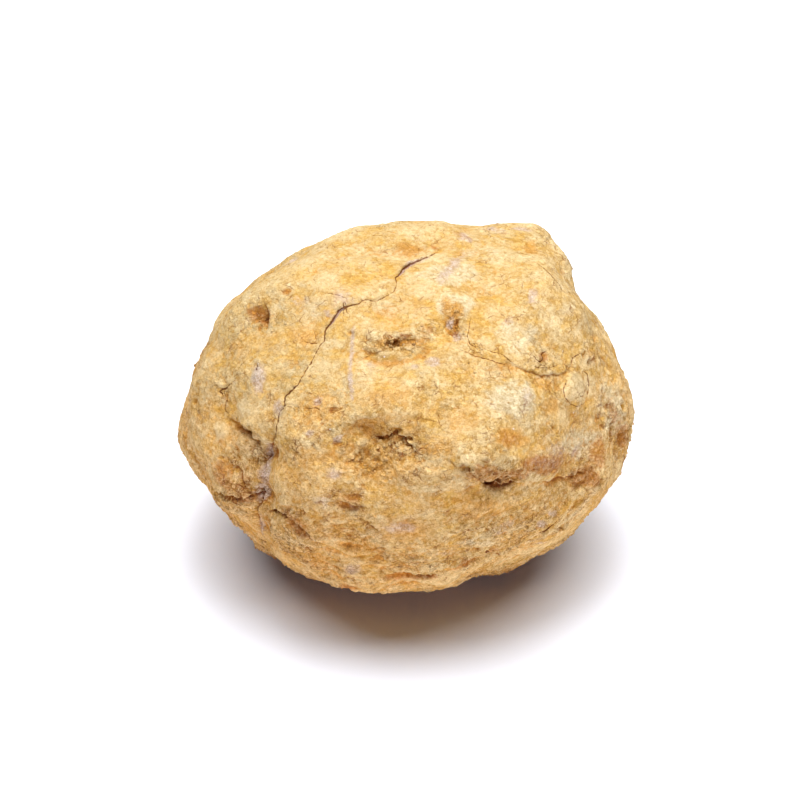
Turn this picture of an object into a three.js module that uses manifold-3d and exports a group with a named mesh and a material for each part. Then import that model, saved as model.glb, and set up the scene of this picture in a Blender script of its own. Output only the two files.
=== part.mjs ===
// An unopened quartz geode: a whole, rounded nodule of pale chalcedony under a crust of dry yellow clay.
// It is one closed stone, lumpy and pitted, with a long crack over its top, and rests on a small flat spot.
// Millimetres, +Z up. The front of the stone faces -Y and its right side +X. The origin is on the surface
// that it rests on, under the middle of the stone.
import * as THREE from "three";
import { ImprovedNoise } from "three/addons/math/ImprovedNoise.js";
import { mergeVertices } from "three/addons/utils/BufferGeometryUtils.js";
import Module from "manifold-3d";

// ---------- driving dimensions ----------
const heartHeight = 26; // height of the stone's middle, from which every bearing below is taken
const edgeSharpness = 18; // how crisply two flats meet: higher is sharper
const skinDetail = 16; // how often each edge of the starting icosahedron is divided
const clay = { color: 0xd9a95c, roughness: 0.95, metalness: 0 };

// A bearing is [azimuth, elevation] in degrees, seen from the middle of the stone: azimuth 0 is the front,
// 90 the right, 180 the back and 270 (or -90) the left.

// The broad worn flats of the stone, each with its distance from the middle.
const flats = [
  // the rim, from the right side over the top to the left
  [[90, 0], 35.7],
  [[108, 24], 33.6],
  [[120, 35], 33.9],
  [[135, 45], 32.7],
  [[158, 52], 32.1],
  [[180, 55], 31.4],
  [[205, 52], 30.8],
  [[228, 44], 29.6],
  [[250, 24], 33.3],
  [[266, 4], 35.9],
  // and back under the stone
  [[278, -10], 35.5],
  [[290, -26], 33.4],
  [[315, -44], 34.0],
  [[338, -52], 31.1],
  [[0, -55], 29.7],
  [[24, -52], 30.6],
  [[45, -45], 33.3],
  [[62, -33], 32.6],
  [[78, -14], 35.0],
  // top and front
  [[0, 90], 26.5],
  [[20, 68], 26.8],
  [[-30, 58], 28.2],
  [[-62, 38], 31.5],
  [[62, 32], 32.2],
  [[-12, 22], 32.4],
  [[38, 8], 33.4],
  [[-48, 4], 34.7],
  [[0, -18], 32.6],
  [[-36, -22], 33.4],
  [[36, -24], 32.3],
  // back and underside
  [[180, 0], 34.4],
  [[150, -12], 34.1],
  [[212, -10], 35.2],
  [[180, 28], 32.3],
  [[135, 5], 35.2],
  [[226, 6], 36.3],
  [[180, -40], 29.7],
  [[128, -40], 30.3],
  [[232, -38], 32.0],
  // around the flat spot
  [[0, -90], 27.3],
  [[15, -70], 27.9],
  [[105, -70], 28.1],
  [[195, -70], 28.4],
  [[285, -70], 28.6],
];

// Round lumps (rise over 0) and dips (rise under 0). The two reaches are along the surface, across and up,
// and turn leans them counter-clockwise as seen from outside.
const swells = [
  { at: [130, 36.5], reach: [5.4, 5.4], rise: 4.4 }, // knob on the back right shoulder
  { at: [115, 34.5], reach: [4.0, 4.2], rise: 3.2 }, // its flank
  { at: [143, 52], reach: [4.5, 3.5], rise: -1.1 }, // saddle beside it
  { at: [275, -7], reach: [5.5, 5], rise: 3.0 }, // left tip
  { at: [86, -2], reach: [11, 11], rise: 1.4 }, // right tip
  { at: [-98, 12], reach: [8, 6], rise: -1.2 }, // flattened left shoulder
  { at: [-24, 12], reach: [9, 12], rise: 1.0 }, // belly beside the cleft
  { at: [26, 21], reach: [11, 4.5], rise: 1.0 }, // brow over the right slot
  { at: [50, 47], reach: [7, 5], rise: 0.6 }, // loose plate near the top
  { at: [-51, 10.5], reach: [6, 4.4], rise: -2.5 }, // hollow under the left ledge
  { at: [-77.5, 41], reach: [4.6, 3.4], rise: -1.7 }, // bowl at the upper left
  { at: [-8, 52], reach: [5, 2.4], rise: -1.1 }, // hollow of the middle fissure
  { at: [-8, 24], reach: [5.5, 3.4], rise: -1.7 }, // hollow under the arched ledge
  { at: [52, 3.5], reach: [5, 3], rise: -1.0 }, // crumbled patch low on the right
  { at: [71, 4], reach: [2.8, 4.2], rise: -1.5 }, // broken edge at the right tip
  { at: [-45, 0.5], reach: [4, 2.2], rise: -0.9 }, // recess at the lower left
  { at: [-30.5, 1.5], reach: [4, 2.4], rise: -0.9 },
  { at: [33, 60], reach: [1.6, 4.6], rise: -0.8, turn: -12 }, // streak of pits beside the plate
  { at: [20, -12], reach: [5.5, 2.4], rise: -0.5, turn: 12 }, // scraped place low in front
  { at: [-15.5, 7.5], reach: [3.6, 1.6], rise: -0.5 },
  { at: [-2, 3], reach: [4.6, 1.6], rise: -0.5 },
  // shoulders and skirts
  { at: [-130, 43], reach: [5, 5], rise: 0.9 },
  { at: [-118, 34], reach: [4.5, 4.5], rise: -1.6 },
  { at: [-105, 20.5], reach: [4, 3.5], rise: 1.7 },
  { at: [-83, -13], reach: [5, 5], rise: -1.3 },
  { at: [168, 55], reach: [6, 3.5], rise: 0.5 },
  { at: [45, -45], reach: [5, 5], rise: 1.0 },
  { at: [24, -52], reach: [4, 4], rise: -0.6 },
  // back and underside
  { at: [174, 12], reach: [9, 7], rise: 1.1 },
  { at: [206, -8], reach: [8, 5], rise: -1.1 },
  { at: [150, 2], reach: [6, 5], rise: -0.9 },
  { at: [231, 22], reach: [6, 5], rise: 0.9 },
  { at: [184, 46], reach: [8, 4], rise: -0.8 },
  { at: [118, -14], reach: [7, 4], rise: -0.9, turn: 20 },
  { at: [252, -18], reach: [6, 6], rise: -0.8 },
  { at: [152, -46], reach: [7, 4], rise: -0.8 },
  { at: [236, -44], reach: [6, 4], rise: -0.7 },
];

// Furrows: soft-sided valleys along a path of bearings.
const furrows = [
  // cleft down the left front, where the crack runs out
  { path: [[-40, 22], [-40.5, 14], [-41, 9], [-41.5, 2], [-43, -5], [-47.5, -17]], reach: 2.4, deep: 1.7 },
  // crease behind the top
  { path: [[-129, 69], [-141, 74], [-164, 77], [167, 76], [150, 73], [133, 68]], reach: 1.9, deep: 0.7 },
  // valley under the knob
  { path: [[98, 44], [108, 30], [122, 20], [138, 18]], reach: 3, deep: 0.9 },
  // back
  { path: [[214, 42], [208, 28], [212, 14], [206, 2]], reach: 2.4, deep: 0.9 },
];

// Ledges: the crust above the path stands proud, and below it the surface drops, then climbs back over its
// reach. Each path runs from left to right as seen from outside.
const ledges = [
  // over the right slot
  {
    path: [
      [10.5, 23.5], [12.5, 21], [15, 18.5], [18.5, 15.5], [24, 13.5],
      [28.5, 12.5], [34, 10], [40, 8], [47, 6.5],
    ],
    drop: 2.3,
    reach: 4,
  },
  // arch in the middle of the front
  { path: [[-18.5, 28.5], [-14, 31], [-9, 29], [-5, 29.5], [-2, 27.5], [3, 25]], drop: 1.9, reach: 3.5 },
  // left ledge, with a plate above it
  { path: [[-60, 17], [-55.5, 16.5], [-50.5, 16], [-46.5, 16], [-42, 17.5]], drop: 2.3, reach: 4 },
  // lower left
  { path: [[-58, -5], [-52.5, -1.5], [-48, -1], [-44.5, 1.5], [-41, 1.5]], drop: 1.4, reach: 3.5 },
  { path: [[-37, -5], [-33, -2.5], [-29, -1], [-27, -3], [-25, -4]], drop: 1.0, reach: 3 },
  // lower edge of the loose plate
  { path: [[32.5, 51.5], [34.5, 47], [39.5, 43], [44.5, 39], [49, 36], [54, 32.5]], drop: 1.1, reach: 2.6 },
  // brow of the middle fissure
  { path: [[-21.5, 52], [-17.5, 51], [-12, 54.5], [-5, 56.5], [5, 57.5]], drop: 1.3, reach: 2.6 },
  // back and underside
  { path: [[148, 22], [158, 25], [170, 24], [182, 27], [196, 23]], drop: 1.7, reach: 4 },
  { path: [[204, 2], [215, 5], [226, 3], [240, 6]], drop: 1.6, reach: 4 },
  { path: [[104, -4], [118, -8], [130, -8], [142, -5]], drop: 1.3, reach: 3.5 },
  { path: [[166, -22], [180, -18], [196, -22]], drop: 1.3, reach: 4 },
  { path: [[18, -36], [32, -34], [46, -37]], drop: 1.0, reach: 3 },
  { path: [[288, -28], [300, -31], [316, -29]], drop: 1.0, reach: 3 },
];

// Open cracks: each point is an azimuth, an elevation and the crack's width there in millimetres.
const cracks = [
  // the long crack, from behind the top to the cleft at the left front
  {
    depth: 3,
    path: [
      [141, 73, 0], [146, 78.5, 0.7], [155, 87, 0.9], [-38, 86.5, 0.9], [-20, 78.5, 0.6], [-30, 72, 0.35],
      [-39, 67, 0.4], [-43.5, 62.5, 0.6], [-47.5, 58, 0.7], [-46, 53, 0.6], [-43.5, 47, 0.45],
      [-42, 40, 0.4], [-41, 34.5, 0.4], [-41.5, 30, 0.45], [-40.5, 26, 0.6], [-41, 21, 0.9], [-40, 17.5, 0],
    ],
  },
  // short cracks
  { depth: 1.6, path: [[-65.5, 25, 0], [-67, 22, 0.5], [-67, 19.5, 0.5], [-64.5, 19, 0.4], [-61, 17, 0]] },
  { depth: 1.6, path: [[56, 29.5, 0], [60, 30, 0.4], [63, 30, 0.4], [69.5, 31, 0]] },
  { depth: 1.4, path: [[13, -15, 0], [17.5, -15, 0.5], [21, -11, 0.4], [24.5, -8, 0]] },
  // back
  {
    depth: 2.4,
    path: [
      [218, 43, 0], [214, 38, 0.3], [213, 34, 0.45], [209.5, 30, 0.4], [210.5, 26, 0.35], [213, 22.5, 0.45],
      [211.5, 18, 0.5], [208, 14.5, 0.35], [208.5, 10, 0.3], [211, 5, 0],
    ],
  },
  { depth: 2, path: [[168, 0, 0], [164.5, -3, 0.35], [164, -7, 0.45], [160.5, -10, 0.35], [161.5, -16, 0]] },
];

// Hollows broken into the crust. Size is half of the length, half of the height and the depth; turn is
// counter-clockwise.
const hollows = [
  { at: [25.5, 13], size: [2.9, 0.75, 2.4], turn: -5 }, // deep slot on the right
  { at: [43, 7], size: [1.7, 0.6, 1.5] },
  { at: [-73, 42], size: [1.2, 0.9, 1.5] }, // deep end of the upper left bowl
  { at: [-7, 55.5], size: [1.7, 0.65, 1.5], turn: 8 }, // middle fissure
  { at: [-40.5, 15], size: [1.4, 1.5, 1.6] }, // where the crack meets the cleft
  { at: [-52, 14.5], size: [3.2, 0.8, 1.4] }, // under the left ledge
  { at: [-45.5, 0], size: [2.4, 0.6, 1.2], turn: 12 },
  { at: [-31, -3.5], size: [2.2, 0.5, 1.1], turn: 8 },
  { at: [-11, 27], size: [2.2, 0.55, 1.2], turn: -4 }, // under the arch
  { at: [4, -19], size: [2.1, 0.9, 1.5] }, // low in front
  { at: [-3, -18], size: [1.6, 0.7, 1.0] },
  { at: [71, 4.5], size: [1.1, 2.0, 1.2] }, // right tip
  { at: [66.5, 12.5], size: [1.0, 0.8, 1.0] },
  { at: [76, 14], size: [0.7, 0.5, 0.7] },
  { at: [75, 10], size: [0.6, 0.7, 0.7] },
  { at: [71.5, 30], size: [0.7, 0.5, 0.7] },
  { at: [73.5, 27], size: [0.5, 0.5, 0.6] },
  { at: [55.5, 37.5], size: [1.2, 0.4, 0.9], turn: -38 }, // gap beside the plate
  { at: [41.5, 67], size: [0.6, 0.5, 0.7] }, // streak of pits
  { at: [36, 64], size: [0.5, 0.6, 0.7] },
  { at: [32.5, 60.5], size: [0.7, 0.9, 0.9] },
  { at: [26.5, 53.5], size: [0.5, 0.5, 0.7] },
  { at: [-20.5, 24.5], size: [0.9, 0.6, 0.9] },
  { at: [-26.5, 23], size: [0.5, 0.5, 0.7] },
  { at: [-78, 52.5], size: [0.7, 0.5, 0.7] },
  { at: [-86.5, 62], size: [0.6, 0.5, 0.6] },
  { at: [-56, -8], size: [0.9, 0.6, 0.9] },
  // back and underside
  { at: [170, 20.5], size: [2.8, 0.7, 2.0] },
  { at: [222, 0.5], size: [2.4, 0.7, 1.7] },
  { at: [124, -11.5], size: [2.2, 0.6, 1.5] },
  { at: [190, 7], size: [0.8, 0.7, 0.9] },
  { at: [182, 37], size: [0.8, 0.6, 0.8] },
  { at: [145, 12], size: [0.9, 0.8, 1.0] },
  { at: [242, -9], size: [0.9, 0.7, 1.0] },
  { at: [180, -22.5], size: [2.2, 0.6, 1.4] },
  { at: [152, 48], size: [0.7, 0.6, 0.8] },
  { at: [100, -22], size: [0.9, 0.7, 0.9] },
  { at: [255, 12], size: [0.8, 0.9, 0.9] },
];

// Flakes and chunks of clay that stand on the crust, sized like the hollows.
const flakes = [
  { at: [62.5, 24.5], size: [2.6, 2.6, 0.75] }, // round disc
  { at: [45.5, -8.5], size: [4.2, 0.8, 0.8], turn: 36 }, // long flake low on the right
  { at: [-49.5, 15], size: [1.1, 1.2, 1.1] }, // chunk on the left ledge
  { at: [-14.5, 24.5], size: [0.7, 0.6, 0.8] },
  { at: [21, -9.5], size: [3.2, 0.6, 0.5], turn: 14 },
  { at: [-21.5, -24], size: [2.4, 1.6, 0.8] },
  { at: [197, 14], size: [2.4, 1.8, 0.7] },
  { at: [150, -12], size: [2.8, 1.0, 0.8], turn: 18 },
  { at: [237, 13], size: [1.9, 1.5, 0.7] },
];

// Unevenness of the crust, coarse to fine: spacing of the bumps and their height.
const bumps = [
  { spacing: 17, height: 1.3 },
  { spacing: 9, height: 1.0 },
  { spacing: 5, height: 0.8 },
];
const pebbleRoughness = 0.45; // how unevenly a hollow or a flake is shaped
const pebbleGrain = 1.7; // how many bumps lie across its radius
const finePebble = 2; // hollows and flakes with a size over this have four times the facets
const restFade = { from: -24.5, to: -19 }; // below this level the bumps fade out, so that the stone sits flat

// ---------- bearings and distances ----------
const bearing = ([azimuth, elevation]) => {
  const a = THREE.MathUtils.degToRad(azimuth);
  const e = THREE.MathUtils.degToRad(elevation);
  return new THREE.Vector3(Math.cos(e) * Math.sin(a), -Math.cos(e) * Math.cos(a), Math.sin(e));
};

const planes = flats.map(([direction, distance]) => ({ normal: bearing(direction), distance }));

// Distance of the worn form from the middle of the stone, along the unit vector d.
const formRadius = (d) => {
  let sum = 0;
  for (const { normal, distance } of planes) {
    sum += (Math.max(0, d.dot(normal)) / distance) ** edgeSharpness;
  }
  return sum ** (-1 / edgeSharpness);
};

const onForm = (direction) => {
  const d = bearing(direction);
  return d.multiplyScalar(formRadius(d));
};

// Axes of the surface at a bearing: across to the right, up, and out, turned by `turn` degrees.
const surfaceAxes = (direction, turn = 0) => {
  const out = bearing(direction);
  const across = new THREE.Vector3(-out.y, out.x, 0).normalize();
  const up = new THREE.Vector3().crossVectors(out, across);
  const lean = THREE.MathUtils.degToRad(turn);
  across.applyAxisAngle(out, lean);
  up.applyAxisAngle(out, lean);
  return { across, up, out };
};

// Where p lies against a path: how far it is from it, how far above it (negative below), which way is up
// there, and how near the ends of the path are.
const measureAgainst = (stretches, p) => {
  let best = { away: Infinity };
  for (const { start, end, before, after } of stretches) {
    const along = new THREE.Vector3().subVectors(end, start);
    const length = along.length();
    along.divideScalar(length);
    const offset = new THREE.Vector3().subVectors(p, start);
    const t = THREE.MathUtils.clamp(offset.dot(along), 0, length);
    offset.addScaledVector(along, -t);
    const away = offset.length();
    if (away < best.away) {
      const up = new THREE.Vector3().crossVectors(p, along).normalize();
      const above = offset.dot(up) < 0 ? -away : away;
      best = { away, above, up, toEnd: Math.min(before + t, after + length - t) };
    }
  }
  return best;
};

const stretchesOf = (path) => {
  const points = path.map(onForm);
  const lengths = points.slice(1).map((point, i) => point.distanceTo(points[i]));
  const total = lengths.reduce((a, b) => a + b, 0);
  let before = 0;
  return lengths.map((length, i) => {
    const stretch = { start: points[i], end: points[i + 1], before, after: total - before - length };
    before += length;
    return stretch;
  });
};

// ---------- relief ----------
const noise = new ImprovedNoise();
const noiseOrigin = new THREE.Vector3(7, 3, 5); // which stretch of the noise shapes the bumps

const swellPlaces = swells.map((s) => ({ ...s, ...surfaceAxes(s.at, s.turn), centre: onForm(s.at) }));
const furrowPlaces = furrows.map((f) => ({ ...f, stretches: stretchesOf(f.path) }));
const ledgePlaces = ledges.map((l) => ({ ...l, stretches: stretchesOf(l.path) }));

const swellLift = (p) => {
  let lift = 0;
  for (const { centre, across, up, out, reach, rise } of swellPlaces) {
    const offset = new THREE.Vector3().subVectors(p, centre);
    const x = offset.dot(across) / reach[0];
    const y = offset.dot(up) / reach[1];
    const z = offset.dot(out) / Math.max(...reach);
    lift += rise * Math.exp(-(x * x + y * y + z * z));
  }
  return lift;
};

// A furrow or a ledge dies out over this distance from the ends of its path.
const fadeFrom = -1;
const fadeTo = 3;
const endFade = (toEnd) => THREE.MathUtils.smoothstep(toEnd, fadeFrom, fadeTo);

const furrowLift = (p) => {
  let lift = 0;
  for (const { stretches, reach, deep } of furrowPlaces) {
    const { away, toEnd } = measureAgainst(stretches, p);
    lift -= deep * Math.exp(-((away / reach) ** 2)) * endFade(toEnd);
  }
  return lift;
};

const gatherWidth = 2.6; // corners of the crust nearer to a ledge than this are drawn to it
const ledgeLip = 0.8; // width over which a ledge drops
const ledgeBrow = 0.3; // how much of the drop stands above the surface
const ledgeLift = (p) => {
  let lift = 0;
  for (const { stretches, reach, drop } of ledgePlaces) {
    const { above, away, toEnd } = measureAgainst(stretches, p);
    const fall = THREE.MathUtils.smoothstep(-above, -ledgeLip / 2, ledgeLip / 2);
    const level = THREE.MathUtils.lerp(ledgeBrow, ledgeBrow - 1, fall);
    lift += drop * level * Math.exp(-away / reach) * endFade(toEnd);
  }
  return lift;
};

const bumpLift = (p) => {
  let lift = 0;
  for (const { spacing, height } of bumps) {
    const q = new THREE.Vector3().copy(p).divideScalar(spacing).add(noiseOrigin);
    lift += height * noise.noise(q.x, q.y, q.z);
  }
  return lift * THREE.MathUtils.smoothstep(p.z, restFade.from, restFade.to);
};

const reliefAt = (p) => swellLift(p) + furrowLift(p) + ledgeLift(p) + bumpLift(p);

// Point of the uneven surface at a bearing, moved out along it by `proud`.
const onSurface = (direction, proud = 0) => {
  const p = onForm(direction);
  const lift = reliefAt(p) + proud;
  return p.addScaledVector(bearing(direction), lift);
};

// ---------- solids ----------
const wasm = await Module();
wasm.setup();

const sameCorner = 1e-5; // corners closer than this are one
const mergedPositions = (geometry) => {
  geometry.deleteAttribute("normal");
  geometry.deleteAttribute("uv");
  return mergeVertices(geometry, sameCorner);
};

const toSolid = (geometry) => {
  const merged = mergedPositions(geometry);
  const vertProperties = merged.getAttribute("position").array;
  const triVerts = Uint32Array.from(merged.index.array);
  return new wasm.Manifold(new wasm.Mesh({ numProp: 3, vertProperties, triVerts }));
};

const toGeometry = (solid) => {
  const { vertProperties, triVerts } = solid.getMesh();
  const geometry = new THREE.BufferGeometry();
  geometry.setAttribute("position", new THREE.BufferAttribute(vertProperties, 3));
  geometry.setIndex(new THREE.BufferAttribute(triVerts, 1));
  geometry.computeVertexNormals();
  return geometry;
};

// Draws a point near a ledge closer to it, so that the corners crowd there and the drop is steep.
const gather = (p) => {
  for (const { stretches } of ledgePlaces) {
    const { away, above, up, toEnd } = measureAgainst(stretches, p);
    if (away < gatherWidth) {
      const closer = (1 - (away / gatherWidth) ** 1.5) * THREE.MathUtils.smoothstep(toEnd, 0, fadeTo);
      p.addScaledVector(up, -above * closer);
    }
  }
};

// The whole crust: a divided icosahedron whose corners are moved out to the uneven surface.
const crust = () => {
  const geometry = mergedPositions(new THREE.IcosahedronGeometry(1, skinDetail));
  const position = geometry.getAttribute("position");
  const d = new THREE.Vector3();
  const p = new THREE.Vector3();
  for (let i = 0; i < position.count; i++) {
    d.fromBufferAttribute(position, i).normalize();
    p.copy(d).multiplyScalar(formRadius(d));
    gather(p);
    d.copy(p).normalize();
    p.copy(d).multiplyScalar(formRadius(d));
    const lift = reliefAt(p);
    p.addScaledVector(d, lift);
    position.setXYZ(i, p.x, p.y, p.z);
  }
  return toSolid(geometry);
};

// A rough faceted pebble: half length, half height and depth along the axes of the surface at its bearing.
const pebble = ({ at, size, turn }) => {
  const geometry = mergedPositions(new THREE.IcosahedronGeometry(1, Math.max(...size) > finePebble ? 1 : 0));
  const position = geometry.getAttribute("position");
  for (let i = 0; i < position.count; i++) {
    const [x, y, z] = [position.getX(i), position.getY(i), position.getZ(i)];
    const bump = noise.noise(x * pebbleGrain + at[0], y * pebbleGrain + at[1], z * pebbleGrain);
    const swell = 1 + pebbleRoughness * bump;
    position.setXYZ(i, x * swell * size[0], y * swell * size[1], z * swell * size[2]);
  }
  const { across, up, out } = surfaceAxes(at, turn);
  const place = new THREE.Matrix4().makeBasis(across, up, out).setPosition(onSurface(at));
  return toSolid(geometry.applyMatrix4(place));
};

// A blade that follows a crack: three-cornered in section, widest outside the surface and sharp inside it,
// drawn out to a point at both ends.
const bladeProud = 1.2; // how far the blade reaches out of the surface
const blade = ({ path, depth }) => {
  const points = path.map((at) => onSurface(at));
  const corners = [];
  path.forEach((at, i) => {
    const out = bearing(at);
    const before = points[Math.max(i - 1, 0)];
    const after = points[Math.min(i + 1, points.length - 1)];
    const side = new THREE.Vector3().subVectors(after, before).cross(out).normalize();
    const half = (at[2] / 2) * (1 + bladeProud / depth);
    const outside = points[i].clone().addScaledVector(out, bladeProud);
    if (at[2] === 0) {
      corners.push(outside);
      return;
    }
    corners.push(outside.clone().addScaledVector(side, half));
    corners.push(outside.clone().addScaledVector(side, -half));
    corners.push(points[i].clone().addScaledVector(out, -depth));
  });
  const last = corners.length - 1;
  const faces = [[0, 1, 2], [0, 2, 3], [0, 3, 1]];
  for (let ring = 1; ring + 3 < last; ring += 3) {
    for (let k = 0; k < 3; k++) {
      const a = ring + k;
      const b = ring + ((k + 1) % 3);
      faces.push([a, a + 3, b], [b, a + 3, b + 3]);
    }
  }
  faces.push([last, last - 2, last - 3], [last, last - 1, last - 2], [last, last - 3, last - 1]);
  const geometry = new THREE.BufferGeometry();
  geometry.setAttribute("position", new THREE.Float32BufferAttribute(corners.flatMap((c) => c.toArray()), 3));
  geometry.setIndex(faces.flat());
  return toSolid(geometry);
};

// What lies below the resting surface, and is cut away for the flat spot.
const floorSlab = () => {
  const width = 60;
  const thickness = 10;
  const slab = new THREE.BoxGeometry(width, width, thickness);
  return toSolid(slab.translate(0, 0, -heartHeight - thickness / 2));
};

let stone = crust();
for (const flake of flakes) {
  stone = stone.add(pebble(flake));
}
for (const hollow of hollows) {
  stone = stone.subtract(pebble(hollow));
}
for (const crack of cracks) {
  stone = stone.subtract(blade(crack));
}
stone = stone.subtract(floorSlab());

// Where two cuts meet they can set a crumb free, so only the largest piece is kept.
const [whole] = stone.decompose().sort((a, b) => b.volume() - a.volume());

// Stand it on the origin, under the middle of its outline.
const geometry = toGeometry(whole);
geometry.computeBoundingBox();
const middle = geometry.boundingBox.getCenter(new THREE.Vector3());
geometry.translate(-middle.x, -middle.y, heartHeight);

const geode = new THREE.Mesh(geometry, new THREE.MeshStandardMaterial(clay));
geode.name = "geode";
const group = new THREE.Group();
group.add(geode);
export default group;
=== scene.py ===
import math
import random

import bmesh
import bpy
import numpy as np
from mathutils import Euler, Matrix, Vector, noise
from mathutils.bvhtree import BVHTree
from mathutils.kdtree import KDTree


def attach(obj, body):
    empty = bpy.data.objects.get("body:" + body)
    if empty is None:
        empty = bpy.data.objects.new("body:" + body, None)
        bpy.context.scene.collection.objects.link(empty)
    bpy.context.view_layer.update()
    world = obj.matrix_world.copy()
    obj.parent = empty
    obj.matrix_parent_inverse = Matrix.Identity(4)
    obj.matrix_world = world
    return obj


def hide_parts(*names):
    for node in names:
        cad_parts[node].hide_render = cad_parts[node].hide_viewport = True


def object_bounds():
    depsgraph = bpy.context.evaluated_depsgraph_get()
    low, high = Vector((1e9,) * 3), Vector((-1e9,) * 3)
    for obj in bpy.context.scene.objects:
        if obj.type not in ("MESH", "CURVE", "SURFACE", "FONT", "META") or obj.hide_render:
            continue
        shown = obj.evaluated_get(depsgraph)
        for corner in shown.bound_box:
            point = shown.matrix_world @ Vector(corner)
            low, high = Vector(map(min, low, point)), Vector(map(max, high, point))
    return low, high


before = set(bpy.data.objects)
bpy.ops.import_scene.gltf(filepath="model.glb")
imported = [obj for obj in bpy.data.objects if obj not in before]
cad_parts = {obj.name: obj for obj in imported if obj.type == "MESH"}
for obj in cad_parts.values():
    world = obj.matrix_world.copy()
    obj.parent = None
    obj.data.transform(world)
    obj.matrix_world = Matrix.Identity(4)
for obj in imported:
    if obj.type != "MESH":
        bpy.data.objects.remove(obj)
cadLow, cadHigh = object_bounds()
mm = 0.001
middleAside = 0.32 * mm    # the left tip reaches a little farther out than the right one
heart = (cadLow + cadHigh) / 2 + Vector((middleAside, 0, 0))
print("frame loaded")


def bearing(azimuth, elevation):    # the way out from the heart; azimuth 0 is the front and 90 the right
    a = math.radians(azimuth)
    e = math.radians(elevation)
    return Vector((math.cos(e) * math.sin(a), -math.cos(e) * math.cos(a), math.sin(e)))


def newObject(name, mesh):
    piece = bpy.data.objects.new(name, mesh)
    bpy.context.scene.collection.objects.link(piece)
    return piece


def bmeshToMesh(bm, name):
    mesh = bpy.data.meshes.new(name)
    bm.to_mesh(mesh)
    bm.free()
    return mesh


def hexColour(code):    # an sRGB hex colour as the linear RGBA that the shaders take
    parts = [int(code[i:i + 2], 16) / 255 for i in (1, 3, 5)]
    return tuple(c / 12.92 if c <= 0.04045 else ((c + 0.055) / 1.055) ** 2.4 for c in parts) + (1.0,)


def addNode(tree, kind, links, out=0, **settings):    # adds a node and gives back one of its outputs
    node = tree.nodes.new("ShaderNode" + kind)
    for key, value in settings.items():
        setattr(node, key, value)
    for socket, value in links.items():
        if isinstance(value, bpy.types.NodeSocket):
            tree.links.new(value, node.inputs[socket])
        else:
            node.inputs[socket].default_value = value
    return node.outputs[out] if node.outputs else node


def newMaterial(name):
    material = bpy.data.materials.new(name)
    material.use_nodes = True
    material.node_tree.nodes.clear()
    return material, material.node_tree


view = {
    "elevation": 35.0,
    "distance": 480 * mm,
    "across": 126.9 * mm,                  # width that the view takes in at the stone's middle
    "aimOffset": (-1.11 * mm, 0.80 * mm),  # the stone sits a little right of and below the middle
    "sensor": 36.0,
    "clip": (0.02, 20),
}


def makeCamera():
    back = bearing(0, view["elevation"])
    right = Vector((1, 0, 0))
    up = back.cross(right)
    camera = bpy.data.objects.new("camera", bpy.data.cameras.new("camera"))
    bpy.context.scene.collection.objects.link(camera)
    camera.data.sensor_width = view["sensor"]
    camera.data.lens = view["sensor"] * view["distance"] / view["across"]
    camera.data.clip_start, camera.data.clip_end = view["clip"]
    aside, above = view["aimOffset"]
    camera.location = heart + back * view["distance"] + right * aside + up * above
    camera.rotation_mode = "QUATERNION"
    camera.rotation_quaternion = (-back).to_track_quat("-Z", "Y")
    bpy.context.scene.camera = camera


studio = {
    "floorSize": 12.0,
    "floorTone": "#ecf0fa",    # white paper, a trace cool
    "lightHeight": 2.4,
    "lightSize": 2.3,          # wide and far off, so the shadow under the stone is soft all round
    "lightAside": (0.65, 0.25),    # one stands to the left and one to the right, both a little behind
    "lightPower": 72.0,
    "lightTone": "#ffffff",
    "boardAt": (0.6, -2.0, 0.15),    # a low white board in front, a little to the right
    "boardSize": (2.4, 0.28),
    "boardPower": 24.0,
    "boardTone": "#f8f4ff",
    "roomGlow": 0.005,         # what the white room itself adds to the light
}


def makeStudio():
    bm = bmesh.new()
    bmesh.ops.create_grid(bm, x_segments=1, y_segments=1, size=studio["floorSize"] / 2)
    floor = newObject("floor", bmeshToMesh(bm, "floor"))
    material, tree = newMaterial("matt white paper")    # a plain white sweep with no gloss
    shader = addNode(tree, "BsdfPrincipled", {
        "Base Color": hexColour(studio["floorTone"]), "Roughness": 1.0, "Specular IOR Level": 0.0})
    addNode(tree, "OutputMaterial", {"Surface": shader})
    floor.data.materials.append(material)

    x, y = studio["lightAside"]
    z = studio["lightHeight"]
    disk = (studio["lightSize"], studio["lightSize"])
    lamps = [
        ("left light", "DISK", "light", disk, (-x, y, z)),
        ("right light", "DISK", "light", disk, (x, y, z)),
        ("board", "RECTANGLE", "board", studio["boardSize"], studio["boardAt"]),
    ]
    for name, shape, kind, size, place in lamps:
        lamp = bpy.data.lights.new(name, "AREA")
        lamp.color = hexColour(studio[kind + "Tone"])[:3]
        lamp.shape = shape
        lamp.size, lamp.size_y = size
        lamp.energy = studio[kind + "Power"]
        light = bpy.data.objects.new(name, lamp)
        light.location = place
        light.rotation_mode = "QUATERNION"
        light.rotation_quaternion = (heart - light.location).to_track_quat("-Z", "Y")
        bpy.context.scene.collection.objects.link(light)

    world = bpy.data.worlds.new("white room")
    world.use_nodes = True
    tree = world.node_tree
    tree.nodes.clear()
    seen = addNode(tree, "LightPath", {}, out="Is Camera Ray")
    strength = addNode(tree, "MapRange", {"Value": seen, "To Min": studio["roomGlow"], "To Max": 1.0})
    glow = addNode(tree, "Background", {"Color": (1, 1, 1, 1), "Strength": strength})
    addNode(tree, "OutputWorld", {"Surface": glow})
    bpy.context.scene.world = world
    bpy.context.scene.view_settings.view_transform = "Standard"


makeCamera()
makeStudio()
print("camera, floor and light made")

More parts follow.
